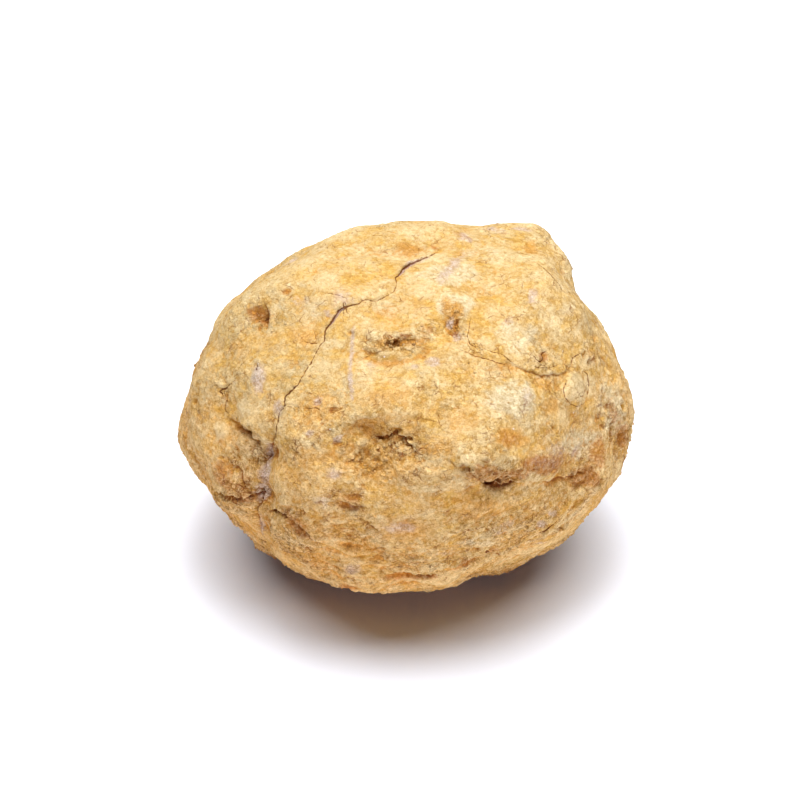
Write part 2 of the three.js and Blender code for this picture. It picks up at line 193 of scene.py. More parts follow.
stone = {
    "voxel": 0.47 * mm,       # the solid's surface is remade from cells of this size
    "easing": 7,              # passes that take away the flat facets of the solid
    "farOut": 80,             # a ray that looks for the surface starts this many mm from the heart
    "pathStep": 0.16 * mm,    # how far apart the places along a crack or ledge are
    "spotReach": 0.14,        # mm along a path that one of its places speaks for
    "bends": ((1.6, 1.0), (0.6, 0.4)),    # spacing in mm and share of the waves that bend a path
    "crackStray": 0.22 * mm,
    "ledgeStray": 0.4 * mm,
    "fineReach": 0.7 * mm,    # the mesh is made finer this near to the lines named below
    "fineLines": ["crack", "slot", "plateEdge", "leftLedge", "archLedge", "cleft", "lowArch", "lowerLeft"],
    # height and spacing in mm of each kind of relief
    "lumps": (0.11, 3.6),
    "flakes": (0.15, 5.2),
    "chips": (0.20, 1.9),
    "crumble": (0.42, 1.5),
    "shelves": (0.45, 2.3),    # short ledges that the crumbling clay leaves, one under another
    "beds": (0.24, 1.3),
    "grain": (0.05, 0.95),
    "holes": (0.36, 2.1),
    "rimShare": 0.12,         # the rim round a hollow, as a share of its depth
    "edgeShare": 0.45,        # the edge over a ledge, as a share of its step
    "crackRim": 0.06,         # mm that the clay is raised beside a crack
    "footing": 1.6,           # mm above the flat spot within which the relief fades out
    # passes of averaging that find hollows of each size, and the depth in mm that counts as full
    "hollowSizes": {"hollowFine": (3, 0.10), "hollowMid": (14, 0.25), "hollowBroad": (60, 0.6)},
}

# cracks and seams on the surface: azimuth and elevation in degrees, width in mm
cracks = {
    "topHair": [(-62, 62, 0.05), (-56, 63.5, 0.12), (-50, 64, 0.05)],
    "tick3": [(-51, 46, 0.05), (-47.5, 46.5, 0.14), (-45.5, 47.5, 0.05)],
    "tick2": [(-33, 29.5, 0.06), (-30.5, 30.5, 0.22), (-29, 30, 0.06)],
    "tick": [(-60, 33, 0.06), (-59, 31.5, 0.2), (-58, 31, 0.06)],
    "clawBranch": [(22.5, -12, 0.3), (23.8, -12.6, 0.14)],
    "plateSide": [(40.5, 57.5, 0.05), (34, 54, 0.1), (32.5, 51, 0.08), (34.5, 47.5, 0.05)],
    "leftCrack2": [(-64.5, 20, 0.05), (-64, 17.5, 0.14), (-63, 16, 0.16), (-61, 16, 0.05)],
    "crack": [(144, 72.5, 0.1), (147, 76.5, 0.55), (155, 81, 0.75), (167.5, 85, 0.8), (-86, 88, 0.6),
        (-42, 84, 0.25), (-22, 80, 0.12), (-20, 76.5, 0.12), (-24, 74.5, 0.1), (-28, 72, 0.14),
        (-32, 69.5, 0.1), (-39, 68, 0.14), (-39.5, 65.5, 0.18), (-44.5, 63, 0.3), (-46, 61.5, 0.45),
        (-47, 60, 0.6), (-47, 56.5, 0.6), (-47.5, 53, 0.35), (-43.5, 49, 0.14), (-43, 46.5, 0.1),
        (-42.5, 42, 0.12), (-41, 36, 0.12), (-40.5, 34.5, 0.18), (-41, 32, 0.28), (-42, 30, 0.28),
        (-40.5, 28, 0.18), (-41.5, 25.5, 0.12), (-40, 21, 0.14), (-40.5, 19, 0.18)],
    "twig": [(-47, 62, 0.3), (-41.5, 60.5, 0.1)],
    "leftCrack": [(-64.5, 24.5, 0.06), (-66, 21.5, 0.18), (-67.5, 19.5, 0.35), (-66, 19, 0.1)],
    "discEdge": [(58.5, 27, 0.03), (56.5, 26, 0.1), (55.5, 24, 0.14), (56.5, 21.5, 0.14),
        (59.5, 19.5, 0.1), (62, 18.7, 0.02)],
    "discEdge2": [(67, 19, 0.03), (69.5, 21, 0.14), (70, 23.5, 0.08), (69.5, 25, 0.02)],
    "discInner": [(61, 21.5, 0.05), (63.5, 20.5, 0.1), (66, 20.5, 0.12), (68, 21.5, 0.05)],
    "strip": [(66, 29.5, 0.1), (69, 30, 0.2), (72, 29.5, 0.1)],
    "plateInner": [(28, 49.5, 0.05), (33, 46, 0.12), (37.5, 42.5, 0.12), (41, 40.5, 0.05)],
    "plateInner2": [(35.5, 50, 0.05), (37.5, 46.5, 0.1), (41.5, 44.5, 0.1), (43.5, 40.5, 0.05)],
    "plateInner3": [(51, 36, 0.05), (54, 34.5, 0.1), (57, 33, 0.1), (61, 32, 0.05)],
    "plateGap": [(52.5, 38.5, 0.08), (54, 36.5, 0.2), (56, 36, 0.25), (58.5, 37.5, 0.18),
        (61, 37, 0.08)],
    "claw": [(21.5, -13, 0.1), (22.5, -12.5, 0.3), (22.5, -10, 0.28), (24, -9.5, 0.12)],
    "flakeEdge": [(39.5, -12.5, 0.08), (40.5, -11.2, 0.22), (42.2, -9.6, 0.2), (44.5, -8.2, 0.05)],
    "rightHair": [(97, 50, 0.1), (91, 47, 0.2), (87, 43, 0.1)],
    "backCrack": [(168, 1, 0.15), (164.5, -3, 0.35), (164, -7, 0.45), (160.5, -10, 0.35),
        (161.5, -16, 0.1)],
    "sideCrack": [(108, 22, 0.1), (112, 17, 0.3), (111, 12, 0.3), (115, 7, 0.1)],
    "backHair": [(-150, 30, 0.1), (-143, 27, 0.2), (-140, 20, 0.25), (-133, 16, 0.15), (-131, 9, 0.1)],
}
# the surface steps down on the right hand of each of these; the third number is the step in mm
ledges = {
    "flake": [(56, -8, 0.05), (50, -9.5, 0.3), (45, -11.5, 0.45), (41.5, -15, 0.4), (40, -18.5, 0.05)],
    "recess": [(-19, 8.8, 0.1), (-16, 8.2, 0.5), (-14, 7.4, 0.6), (-11.5, 7, 0.2)],
    "lamination3": [(-38, -12, 0.05), (-33, -10, 0.35), (-27, -10.5, 0.3), (-22, -12.5, 0.05)],
    "lamination2": [(-38, -27, 0.05), (-31.5, -26, 0.3), (-25, -23.5, 0.3), (-18, -23.5, 0.05)],
    "lamination": [(-38, -20, 0.05), (-33, -16.5, 0.3), (-28, -16, 0.4), (-24, -18.5, 0.35),
        (-19, -18.5, 0.2), (-14, -19.5, 0.05)],
    "midLeft": [(-55, 4.2, 0.1), (-52, 5, 0.4), (-50, 4, 0.5), (-48.5, 0.8, 0.5), (-47.5, -1, 0.1)],
    "bowl": [(-81.5, 44.5, 0.1), (-77.5, 44, 0.5), (-74.5, 43, 0.9), (-74.5, 41.5, 0.9),
        (-76, 39.5, 0.2)],
    "lowerLeft2": [(-57, -8, 0.1), (-54.5, -7.5, 0.6), (-51.5, -8.5, 0.5), (-49.5, -10, 0.1)],
    "archUp": [(-19, 27, 0.1), (-16.5, 29, 0.25), (-14, 30.5, 0.3), (-11, 31, 0.25), (-8, 30, 0.15),
        (-6, 29, 0.1)],
    "leftLedge": [(-61, 15, 0.1), (-58, 15.5, 0.4), (-53.5, 17, 0.5), (-49.5, 17, 0.4),
        (-45.5, 17, 0.5), (-43, 16, 0.5), (-40.5, 17, 0.2)],
    "lowerLeft": [(-64, -9, 0.2), (-57, -5, 0.7), (-52, -4.7, 0.9), (-48.5, -3.2, 0.9),
        (-45, -1.6, 0.5)],
    "fissure": [(-22, 51.5, 0.1), (-19, 51, 0.3), (-15, 51.5, 0.3), (-12, 54, 0.15), (-5.5, 57, 0.2),
        (5, 58, 0.1), (15, 56.5, 0.08)],
    "archLedge": [(-11.5, 25, 0.1), (-9, 26, 0.5), (-6.5, 27, 0.7), (-4, 27.5, 0.8), (-1.5, 26.5, 0.6),
        (1, 24.5, 0.4), (3, 22.5, 0.1)],
    "slot": [(11, 21, 0.1), (13, 19.5, 0.35), (16, 17.3, 0.4), (20.5, 13.4, 0.8), (23, 12, 1),
        (25.5, 11.3, 1.2), (28, 11, 1.2), (30, 10.6, 0.8), (33, 10, 0.3), (37.5, 7.5, 0.1)],
    "lip": [(38, 7.5, 0.1), (41.5, 5.2, 0.4), (45, 4, 0.6), (48, 2.4, 0.5), (53, 1.6, 0.5),
        (57, 1, 0.1)],
    "plateEdge": [(35, 48, 0.03), (39.5, 43.5, 0.08), (43.5, 40, 0.15), (47, 37, 0.3), (51, 33.5, 0.35),
        (55, 31.5, 0.35), (59.5, 30, 0.25), (63, 29.5, 0.15), (66.5, 30.5, 0.1)],
    "lowArch": [(-44, -6.5, 0.1), (-41, -5, 0.5), (-37, -1.5, 0.9), (-32.5, 0.2, 1.1), (-29.5, 0, 1.2),
        (-27.5, -1.2, 1.2), (-26, -2.7, 0.9), (-25, -4.8, 0.3)],
    "cleft": [(-40, 19, 0.2), (-42, 15, 0.5), (-43, 11, 0.6), (-44, 6.5, 0.2), (-44.5, 1.5, 0.2),
        (-45, -4, 0.4), (-47, -11, 0.4), (-49, -20, 0.3), (-50, -26, 0.1)],
    "bottomArc": [(-6, -15.5, 0.1), (-4.5, -13.5, 0.3), (-1.5, -13, 0.4), (2, -14.5, 0.4),
        (5.5, -16.5, 0.1)],
    "bottomArc2": [(-6, -20, 0.1), (-3, -17.5, 0.5), (1, -17.5, 0.5), (5, -18.5, 0.5), (8.5, -22, 0.1)],
    "strata": [(11, -17.5, 0.05), (14.5, -15.5, 0.4), (18, -15, 0.5), (21, -14.5, 0.35), (26, -13, 0.2),
        (32, -11, 0.2), (36.5, -9.5, 0.05)],
    "strata2": [(12, -21, 0.05), (20, -20.5, 0.25), (29, -21, 0.25), (36, -21.5, 0.05)],
    "backLedge": [(196, 23, 0.1), (182, 27, 0.6), (170, 24, 0.4), (158, 25, 0.6), (148, 22, 0.1)],
    "backLedge2": [(240, 6, 0.1), (226, 3, 0.5), (215, 5, 0.6), (204, 2, 0.1)],
    "sideLedge": [(104, -4, 0.1), (118, -8, 0.5), (130, -8, 0.5), (142, -5, 0.1)],
}
# small hollows, and knobs where the depth is under 0:
# bearing, reach across and up in mm, turn in degrees, depth in mm
hollows = [
    (-52, 12, 1.7, 1.1, 43, -0.7), (-14, 24, 0.9, 0.8, 0, -0.5), (-19.5, 21, 0.8, 0.6, 0, -0.4),
    (-61, 11, 1.8, 1.2, 27, -0.4), (-33, 4, 1.6, 0.8, 30, -0.5), (-40, 5, 1, 2, 0, -0.4),
    (-26, -7, 2, 0.8, -10, -0.4), (6, 17, 1.2, 0.8, 0, -0.3), (172, 14, 1.6, 1.1, 20, -0.6),
    (-130, -5, 1.5, 1, -20, -0.5), (120, -16, 1.7, 1, 0, -0.5), (-100, 16, 1.3, 1, 0, -0.4),
    (26.5, 10.4, 2.2, 0.4, 0, 0.6), (15, 18.4, 0.8, 0.5, 0, 0.7), (26, 13.6, 0.7, 0.35, 0, -0.4),
    (-8, 51.5, 3.2, 1.1, 8, -0.9), (2, 53.5, 1.6, 1, 0, -0.5), (6, 18, 6, 3.2, -12, -0.35),
    (20, 6.5, 4.8, 2.2, -10, -0.8), (-8, 23.5, 4.4, 2.4, 0, -0.5), (-58, 13.5, 0.6, 0.5, 0, -0.4),
    (-55, 14.5, 0.5, 0.4, 0, -0.4), (-49, 15, 0.6, 0.4, 0, -0.4), (-88, 61, 0.5, 0.4, 0, 0.5),
    (-78.5, 41, 2.2, 1.2, 25, 0.35), (-78, 52, 0.4, 0.6, 0, 0.4), (-33, 55, 0.5, 0.4, 0, 0.5),
    (-51, 56, 0.5, 0.4, 0, 0.3), (-75, 11.5, 0.5, 0.5, 0, 0.6), (-71, 10.5, 0.4, 0.4, 0, 0.5),
    (-29, 23.5, 0.35, 0.5, 0, 0.5), (-26, 22.5, 0.3, 0.3, 0, 0.7), (-21, 23, 0.8, 0.45, -10, 0.4),
    (-30.5, 31.5, 0.5, 0.4, 0, 0.3), (-57, 14, 0.6, 0.5, 0, 0.4), (-52, 15.5, 1.2, 0.4, -20, 0.4),
    (-54, 10, 3.4, 2.2, 20, -0.5), (-43, 13, 0.9, 1.4, 10, 0.5), (-3.5, 28, 0.8, 0.5, 0, 0.9),
    (0.5, 26, 0.7, 0.4, -20, 0.8), (-14, 28, 0.7, 0.4, 0, 0.5), (-9, 19.5, 0.8, 0.4, 10, 0.6),
    (-17, 18.5, 0.5, 0.4, 0, 0.5), (-21, -4, 0.8, 0.4, -15, 0.5), (-29.5, -2.6, 2, 0.8, -14, 0.9),
    (-15.5, 6.6, 1.4, 0.6, -15, 0.5), (-14.5, 9.5, 1.2, 0.6, 0, 0.4), (-57, -6, 0.8, 0.5, 0, 0.7),
    (-54, -8, 0.6, 0.5, 0, 0.6), (44.5, 5, 1.3, 0.5, -10, 0.6), (53, -2, 0.9, 0.6, 0, 0.6),
    (23.5, -14, 0.3, 0.6, 20, 0.4), (18, -15.5, 1.5, 0.7, 10, 0.5), (1, -21, 3.2, 1, 0, 0.8),
    (-1, -18.5, 0.8, 0.5, 0, 0.6), (77.5, 8, 0.5, 0.7, 0, 0.7), (77.5, 12, 0.4, 0.5, 0, 0.5),
    (68, 11, 0.4, 0.8, 0, 0.5), (75.5, 0, 1, 1.8, 20, 0.9), (46, 19.5, 0.6, 0.3, 20, 0.4),
    (16, 33.5, 0.6, 0.3, 0, 0.4), (24, 32.5, 0.5, 0.2, 0, 0.3), (73.5, 28, 0.5, 0.5, 0, 0.6),
    (73.5, 25.5, 0.4, 0.5, 0, 0.5), (57, 37, 1.4, 0.9, -20, 0.25), (55, 36, 0.5, 0.3, 0, 0.3),
    (56.5, 51.5, 0.4, 0.3, 0, 0.3), (8, 66, 0.4, 0.3, 0, 0.4), (85, 26, 1.2, 0.4, -15, 0.4),
    (36, 63, 0.4, 0.7, 0, 0.5), (31.5, 58, 0.4, 0.6, 0, 0.5), (34, 60.5, 0.3, 0.4, 0, 0.4),
    (-17, 50.5, 0.6, 0.4, 0, 0.2), (-20, 50.5, 0.4, 0.3, 0, 0.3), (-169, 67, 0.5, 0.5, 0, 0.4),
    (170, 9, 0.5, 0.6, 0, 0.6), (150, 30, 0.5, 0.5, 0, 0.5), (-132, 18, 0.6, 0.5, 0, 0.6),
    (-110, 30, 0.5, 0.7, 0, 0.5), (118, 30, 0.5, 0.4, 0, 0.5), (135, -20, 0.9, 0.5, 0, 0.6),
    (-150, -8, 0.7, 0.5, 0, 0.6), (100, 8, 0.5, 0.7, 0, 0.6), (176, -14, 1.4, 0.6, 10, 0.7),
    (-98, -8, 1, 0.6, 0, 0.6), (-165, 15, 0.8, 0.5, 0, 0.6), (142, 48, 0.5, 0.4, 0, 0.4),
    (2, -31, 13, 7, 0, 0.45), (-57, -22, 8, 6, 0, 0.5), (-67, -6, 4, 4, 0, 0.4),
    (34, -24, 6, 4, 0, 0.4),
]
# patches on the surface: bearing, reach across and up in mm, turn in degrees, strength
zones = {
    "chalcedony": [    # lilac-grey stone that shows through the clay
        (163, 83, 0.5, 3, -30, 0.9), (-47, 58, 0.4, 1.6, 0, 0.9), (-43.5, 13, 0.8, 1.4, 0, 1),
        (-27, 49, 0.35, 5.4, 22, 1), (-56, 30, 2.6, 1.3, -43, 1), (141, 60.5, 0.9, 1.3, 16, 0.8),
        (97, 75, 5.5, 0.9, -30, 0.9), (131, 44, 1.9, 0.5, 36, 0.9), (137, 62, 0.8, 1.4, -39, 0.8),
        (25, -5, 1.4, 0.5, -11, 0.7), (46, -22, 1.8, 0.5, -3, 0.6), (39, 13, 4.6, 1, -28, 0.4),
        (76, 50, 1.9, 0.9, 20, 0.8), (40, 31, 2, 1.2, 30, 0.6), (44, 14, 3.6, 1.2, -30, 0.5),
        (12, 48, 1, 0.9, -20, 0.9), (3, 47, 0.6, 0.5, 0, 0.7), (-43, 27, 1.3, 1, -30, 0.8),
        (-53, 64, 2.2, 1.4, 0, 0.6), (-52, 57, 1, 0.6, 0, 0.7), (-70, 54, 1, 1.6, -45, 0.5),
        (-14, 6.5, 1.2, 0.7, 6, 0.4), (-2, 2, 3, 1, 0, 0.7), (-15, -15, 1.5, 1.1, 30, 0.8),
        (-20, 15, 1.2, 0.8, 0, 0.8), (31, 61, 1.3, 0.6, 45, 0.9), (29, 55, 0.7, 1, -35, 0.9),
        (39, -8, 0.8, 1.8, 40, 1), (42, -5, 1.5, 0.5, -37, 0.9), (-21, 24, 0.8, 0.6, 40, 1.1),
        (-29, 24, 0.5, 0.5, 0, 1), (-31, 32, 0.8, 0.7, 0, 0.8), (-16, 46, 0.7, 1.1, 20, 0.5),
        (-43.5, 6, 1.1, 2.6, -20, 1.1), (-45, -1, 1, 2.4, -15, 1), (-48, -16, 0.6, 3.4, -15, 0.9),
        (-22, 40, 0.4, 3.6, 25, 1), (-43, 12, 0.8, 1.4, 0, 0.9), (-22, 8, 1.6, 1.2, 0, 0.5),
        (143, 82, 0.5, 3, 0, 0.6), (54, 8, 1.6, 1, 0, 0.6), (27, -3, 2.2, 0.9, 0, 0.5),
        (10, -8, 1.8, 0.8, 0, 0.5), (139, 48, 2.2, 1, 0, 0.7), (57, 51, 1.2, 0.8, 0, 0.6),
        (165, 11, 3.4, 2.2, 20, 0.7), (-140, 27, 2.2, 3.2, -15, 0.7), (112, -9, 2.6, 1.8, 0, 0.7),
        (-112, -18, 3, 2, 10, 0.7), (-168, 40, 2.8, 1.8, 0, 0.6), (102, 33, 1.6, 2.6, 10, 0.7),
        (-118, 44, 2, 1.6, 0, 0.7), (150, -32, 3, 1.8, 15, 0.6), (-160, -14, 1.8, 1.4, 0, 0.8),
        (-96, 22, 1.4, 2.2, 0, 0.6), (128, 12, 1.8, 1.2, 0, 0.7), (20, -45, 2.6, 2, 0, 0.5)],
    "ash": [    # grey, dusty clay
        (36, 32, 4.6, 3, 0, 0.9), (43, 66, 3.4, 2.4, 0, 1), (53, 46, 4.6, 3, -20, 0.6),
        (80, 77, 2.6, 5, 30, 1), (56, 10, 5, 3, -30, 0.8), (74, 9, 3.4, 5, 0, 0.8),
        (45, -14, 8, 3, 20, 0.5), (-60, 56, 4, 2.2, 20, 0.5), (20, 68, 3, 1.6, 0, 0.5),
        (-3, 2, 6, 2.4, 0, 0.5), (20, -5, 5, 2, 0, 0.5), (118, 62, 5, 3, 0, 0.5),
        (160, 12, 6, 4, 0, 0.6), (-140, 25, 5, 4, 0, 0.6), (-112, -16, 5, 3, 0, 0.6)],
    "pale": [    # smooth dry clay, nearly cream
        (43, 79, 4.9, 4.3, 0, 0.6), (47, 45, 5.6, 3.6, -20, 0.4), (-9, 44, 4.5, 2.3, 5, 0.5),
        (52, 19, 2.4, 1.8, 0, 0.7), (6, 18, 4.4, 2.4, -15, 0.6), (20, 6.5, 4, 2, -10, 0.6),
        (-53, 11, 3.4, 2.4, 20, 0.9), (64, 23, 4.2, 2.4, -30, 0.9), (-37, 41, 2.4, 1.6, 10, 0.7),
        (-53, 23, 4.8, 2.7, 20, 0.5), (14, 29, 3.4, 2.2, 0, 0.6), (-18, 43, 1.3, 4.3, 20, 0.8),
        (75, 40, 4.3, 3.5, -10, 0.5), (-52, 12, 2.2, 1.2, 43, 1), (-61, 11, 2.3, 1.5, 27, 0.8),
        (45, -10, 5.4, 1, 36, 0.9), (12, -24, 7, 2, 0, 0.8), (30, -22, 6, 2.2, 0, 0.4),
        (42, -25, 7, 2.6, 10, 0.8), (57, -17, 4, 1.6, 20, 0.6), (-30, -27, 8, 2.2, -8, 0.6),
        (-50, -20, 5, 2, -15, 0.5), (-14, 24, 0.7, 0.7, 0, 1), (-19.5, 21, 0.6, 0.6, 0, 0.9),
        (-30, 70, 5, 3, 0, 0.6), (-70, 65, 4, 2.4, 0, 0.6), (-43, 42, 3, 1.8, 0, 0.4),
        (5, 37, 4.4, 2, 0, 0.3), (-38, 49, 1.6, 1, 20, 0.9), (160, 78, 7, 4, 0, 0.5),
        (105, 55, 5, 4, 0, 0.5), (13, 14, 4, 2, 0, 0.4), (150, 35, 6, 4, 0, 0.6),
        (-130, 10, 5, 3.4, 10, 0.6), (172, -6, 5, 3, 0, 0.5), (-100, 58, 5, 4, 0, 0.5),
        (118, 20, 4, 5, 0, 0.5), (-150, 55, 6, 4, 0, 0.6), (95, 2, 4, 3, 0, 0.4),
        (-20, -35, 6, 3, 0, 0.5)],
    "gold": [    # clay with more iron in it
        (-73, 30, 5, 5, 0, 0.4), (-80, 28, 5, 7, 0, 0.3), (-8, 37, 5.6, 3, 0, 0.6),
        (-26.5, 17, 4, 2.6, 0, 0.6), (16, 30, 4, 2.4, 0, 0.6), (-1, 1, 6, 2.6, 0, 0.7),
        (-8, 28, 7, 3, 0, 0.7), (38.5, 64.3, 1.4, 2.2, -30, 1), (-12, 20, 8, 3, 0, 0.6),
        (6, 71, 1.4, 3.9, 37, 0.5), (-2, 18, 10, 2.4, 4, 0.5), (29, 23, 3.6, 1.6, -18, 0.9),
        (51, 30, 3.1, 1, -22, 0.8), (117, 47, 3, 1.5, -30, 0.8), (-53, 47, 3.5, 2.4, 25, 0.6),
        (-71, 33, 5.1, 3.1, 17, 0.45), (-55, 11, 4.9, 2.5, 35, 0.5), (33, 62, 1.3, 4, -25, 1.2),
        (-6, 55, 5, 1.6, 8, 0.6), (19, 6, 6.8, 2.4, -18, 0.8), (-14, -6, 2.9, 2.1, 20, 0.6),
        (-30, 30, 4, 4, 0, 0.6), (-32, 14, 4, 3, 0, 0.6), (-62, 40, 5, 3, 20, 0.4),
        (-28, -14, 4, 2.6, 20, 0.6), (8, 24, 4, 2, 0, 0.6), (180, 74, 2.4, 1, 0, 0.8),
        (48, 25, 2.6, 1.6, 0, 0.7), (140, -5, 4, 3, 0, 0.8), (-120, 30, 4, 4, 0, 0.6),
        (-105, -5, 5, 3, 0, 0.7), (180, -25, 5, 2, 0, 0.6), (-160, 20, 6, 3, 0, 0.7),
        (165, 24, 6, 3, 0, 0.7)],
    "brown": [    # brown clay in hollows, partly painted shade there
        (-53, 62, 2.4, 1.8, 0, 0.4), (28.5, 23, 2.4, 1.4, -20, 0.55), (39, 12, 5, 1.7, -26, 1.1),
        (21, 16.5, 3, 1.2, -35, 0.8), (26.5, 11, 2.6, 0.7, 0, 0.9), (-56, 2, 3, 2, 20, 0.6),
        (-30, -1, 2.8, 1.4, -14, 0.9), (-15.5, 7, 2, 1, -15, 0.8), (61, 3, 2.4, 3, -20, 0.7),
        (-54, -1, 4.9, 1.4, -5, 0.6), (13, 60, 1.4, 1.1, -8, 0.6), (-8, 56, 3, 1, 8, 0.5),
        (-78.5, 41, 3, 1.7, 25, 0.8), (-52, 15.5, 4, 0.7, 20, 0.5), (-42, 13, 2.4, 1.6, 35, 0.7),
        (-49, 2, 1.4, 2.4, 3, 0.6), (-48, -4, 4.4, 1, 20, 0.8), (-6, 26, 3, 0.9, 0, 0.5),
        (-15, 28, 1.7, 0.9, 10, 0.4), (19, 15, 3.4, 1.2, -30, 0.7), (27, 13.5, 4.6, 1.4, -8, 0.8),
        (46, 10, 4, 2, -28, 0.6), (55, 0, 3.6, 2, -28, 0.9), (76, 0, 2.2, 4, 30, 0.7),
        (1, -21, 3.8, 1.5, 2, 1), (-19, -28, 1.8, 3, -26, 0.8), (-29, -3, 3, 1.1, -10, 1),
        (-15, 9, 2.2, 1.2, 0, 0.7), (16, -16, 2.4, 1, 20, 0.9), (24, -12, 2, 0.7, -30, 0.7),
        (76, 26, 1.4, 1.8, -20, 0.5), (73, 10, 1.2, 2.4, -5, 0.6), (57, 37, 1.2, 0.8, -20, 0.9),
        (-44, 4, 1.2, 3, -20, 0.3), (33, 61, 1, 2.6, -20, 0.4), (-78, 52, 0.7, 1, 0, 0.6),
        (140, 61, 1.6, 1.2, 0, 0.7), (148, 71, 1.4, 0.5, 0, 0.8), (171, 21, 4, 1.4, 0, 0.8),
        (-138, 0.5, 3.4, 1.2, 0, 0.8), (124, -11, 3.4, 1, 0, 0.8), (-110, 48, 2, 1.5, 0, 0.6),
        (180, -23, 3.2, 0.9, 0, 0.7), (95, -14, 3, 1.6, 0, 0.7), (-90, -20, 4, 1.8, 0, 0.6)],
    "rough": [    # crumbling clay
        (-4, 21, 9, 4.2, 2, 0.9), (8, 18, 6, 3, -10, 0.6), (24, 15, 8, 2.8, -20, 0.9),
        (55, 0, 4.8, 2.8, -34, 0.9), (75, 2, 4.6, 6.6, 20, 0.9), (-28, 0, 7.1, 3.4, 30, 0.8),
        (-50, -3, 6.2, 3.1, 30, 1), (-50, 9, 5.3, 2.9, 27, 1), (-9, 55, 5, 1.8, 10, 0.9),
        (-76, 41, 3.6, 2.2, 20, 0.7), (33, 61, 1.6, 4, -22, 1), (13, 60, 2.2, 1.8, 0, 0.6),
        (2, -20, 4.6, 2, 0, 0.8), (16, -15, 3.4, 1.6, 10, 0.7), (-19, -26, 3, 2, 0, 0.8),
        (-33, 17, 4, 3.6, 0, 0.7), (18, 5, 8, 3, 0, 0.6), (-12, -4, 7, 5, 0, 0.5),
        (-60, -12, 4, 3, 0, 0.8), (75, 27, 2, 2.6, 0, 0.6), (171, 20, 6, 3, 0, 1),
        (-138, -0.5, 5.6, 3.2, 0, 1), (124, -11, 5.6, 3, 0, 1), (190, 7, 4, 3.6, 0, 0.8),
        (145, 12, 4, 3.6, 0, 0.8), (-118, -9, 4.6, 3.6, 0, 0.9), (180, -23, 5.6, 2.8, 0, 0.9),
        (-105, 12, 4, 4, 0, 0.8), (150, -40, 7, 5, 0, 0.7), (-120, -40, 7, 5, 0, 0.7),
        (-170, 60, 5, 2, 0, 0.5)],
}


def copyOfSolid(name):
    bm = bmesh.new()
    bm.from_mesh(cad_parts["geode"].data)
    bmesh.ops.remove_doubles(bm, verts=bm.verts, dist=0.001 * mm)
    piece = newObject(name, bmeshToMesh(bm, name))
    skin = piece.modifiers.new("skin", "REMESH")
    skin.mode = "VOXEL"
    skin.voxel_size = stone["voxel"]
    graph = bpy.context.evaluated_depsgraph_get()
    mesh = bpy.data.meshes.new_from_object(piece.evaluated_get(graph))
    piece.modifiers.clear()
    piece.data = mesh
    return piece


def tangents(way):    # across and up on the surface
    across = Vector((0, 0, 1)).cross(way).normalized()
    return across, way.cross(across).normalized()


class Shell:    # finds places on the stone's outside
    def __init__(self, bm):
        self.tree = BVHTree.FromBMesh(bm)

    def towards(self, way):
        return self.tree.ray_cast(heart + way * stone["farOut"] * mm, -way)[0]

    def at(self, azimuth, elevation):
        return self.towards(bearing(azimuth, elevation))

    # close places along a path, each with the path's third number and the ways on and to the right
    def along(self, path, stray, step=stone["pathStep"]):
        spots = []
        for a, b in zip(path, path[1:]):
            p = self.at(*a[:2])
            q = self.at(*b[:2])
            count = max(1, round((q - p).length / step))
            on = (q - p).normalized()
            right = on.cross(p - heart).normalized()
            for i in range(count):
                t = i / count
                middle = p.lerp(q, t)
                wander = 0
                for spacing, share in stone["bends"]:
                    wander += share * noise.noise(middle / (spacing * mm))
                middle += right * stray * wander
                spot = self.towards((middle - heart).normalized())
                spots.append((spot, a[2] + (b[2] - a[2]) * t, on, right))
        return spots


class Trail:    # where each point lies beside its nearest path
    def __init__(self, points, spots):
        tree = KDTree(len(spots))
        for i, spot in enumerate(spots):
            tree.insert(spot[0], i)
        tree.balance()
        nearest = np.array([tree.find(p)[1] for p in points])
        places, values, ons, rights = (np.array(part) for part in zip(*spots))
        offset = (points - places[nearest]) / mm
        on = (offset * ons[nearest]).sum(1)
        across = (offset * rights[nearest]).sum(1)
        total = np.linalg.norm(offset, axis=1)
        beside = np.sqrt(np.maximum(total ** 2 - on ** 2, 0))
        beside = np.where(np.abs(on) < stone["spotReach"], beside, total)
        self.right = np.where(across < 0, -beside, beside)    # mm, over 0 on the right hand
        self.value = values[nearest]


def fractal(points, spacing, octaves=3, seed=0):    # about -1 to 1; points and spacing in mm
    shift = Vector((seed * 17.31, seed * -9.17, seed * 5.73))
    return np.array([noise.fractal(Vector(p) / spacing + shift, 0.9, 2.0, octaves) for p in points])


def cells(points, spacing, seed=0):    # distance to the two nearest cell middles, and a number for the cell
    shift = Vector((seed * 11.7, seed * 4.3, seed * -7.9))
    nearest, following, own = [], [], []
    for p in points:
        distances, middles = noise.voronoi(Vector(p) / spacing + shift)
        nearest.append(distances[0])
        following.append(distances[1])
        own.append(noise.noise(middles[0] * 7.77))
    return np.array(nearest), np.array(following), np.array(own)


def ease(low, high, x):
    t = np.clip((x - low) / (high - low), 0, 1)
    return t * t * (3 - 2 * t)


def neighbourMean(values, ends, count):    # one pass of averaging each point with its neighbours
    total = np.empty_like(values)
    for i in range(values.shape[1]):
        total[:, i] = np.bincount(ends[:, 0], values[ends[:, 1], i], len(values))
        total[:, i] += np.bincount(ends[:, 1], values[ends[:, 0], i], len(values))
    return total / count[:, None]


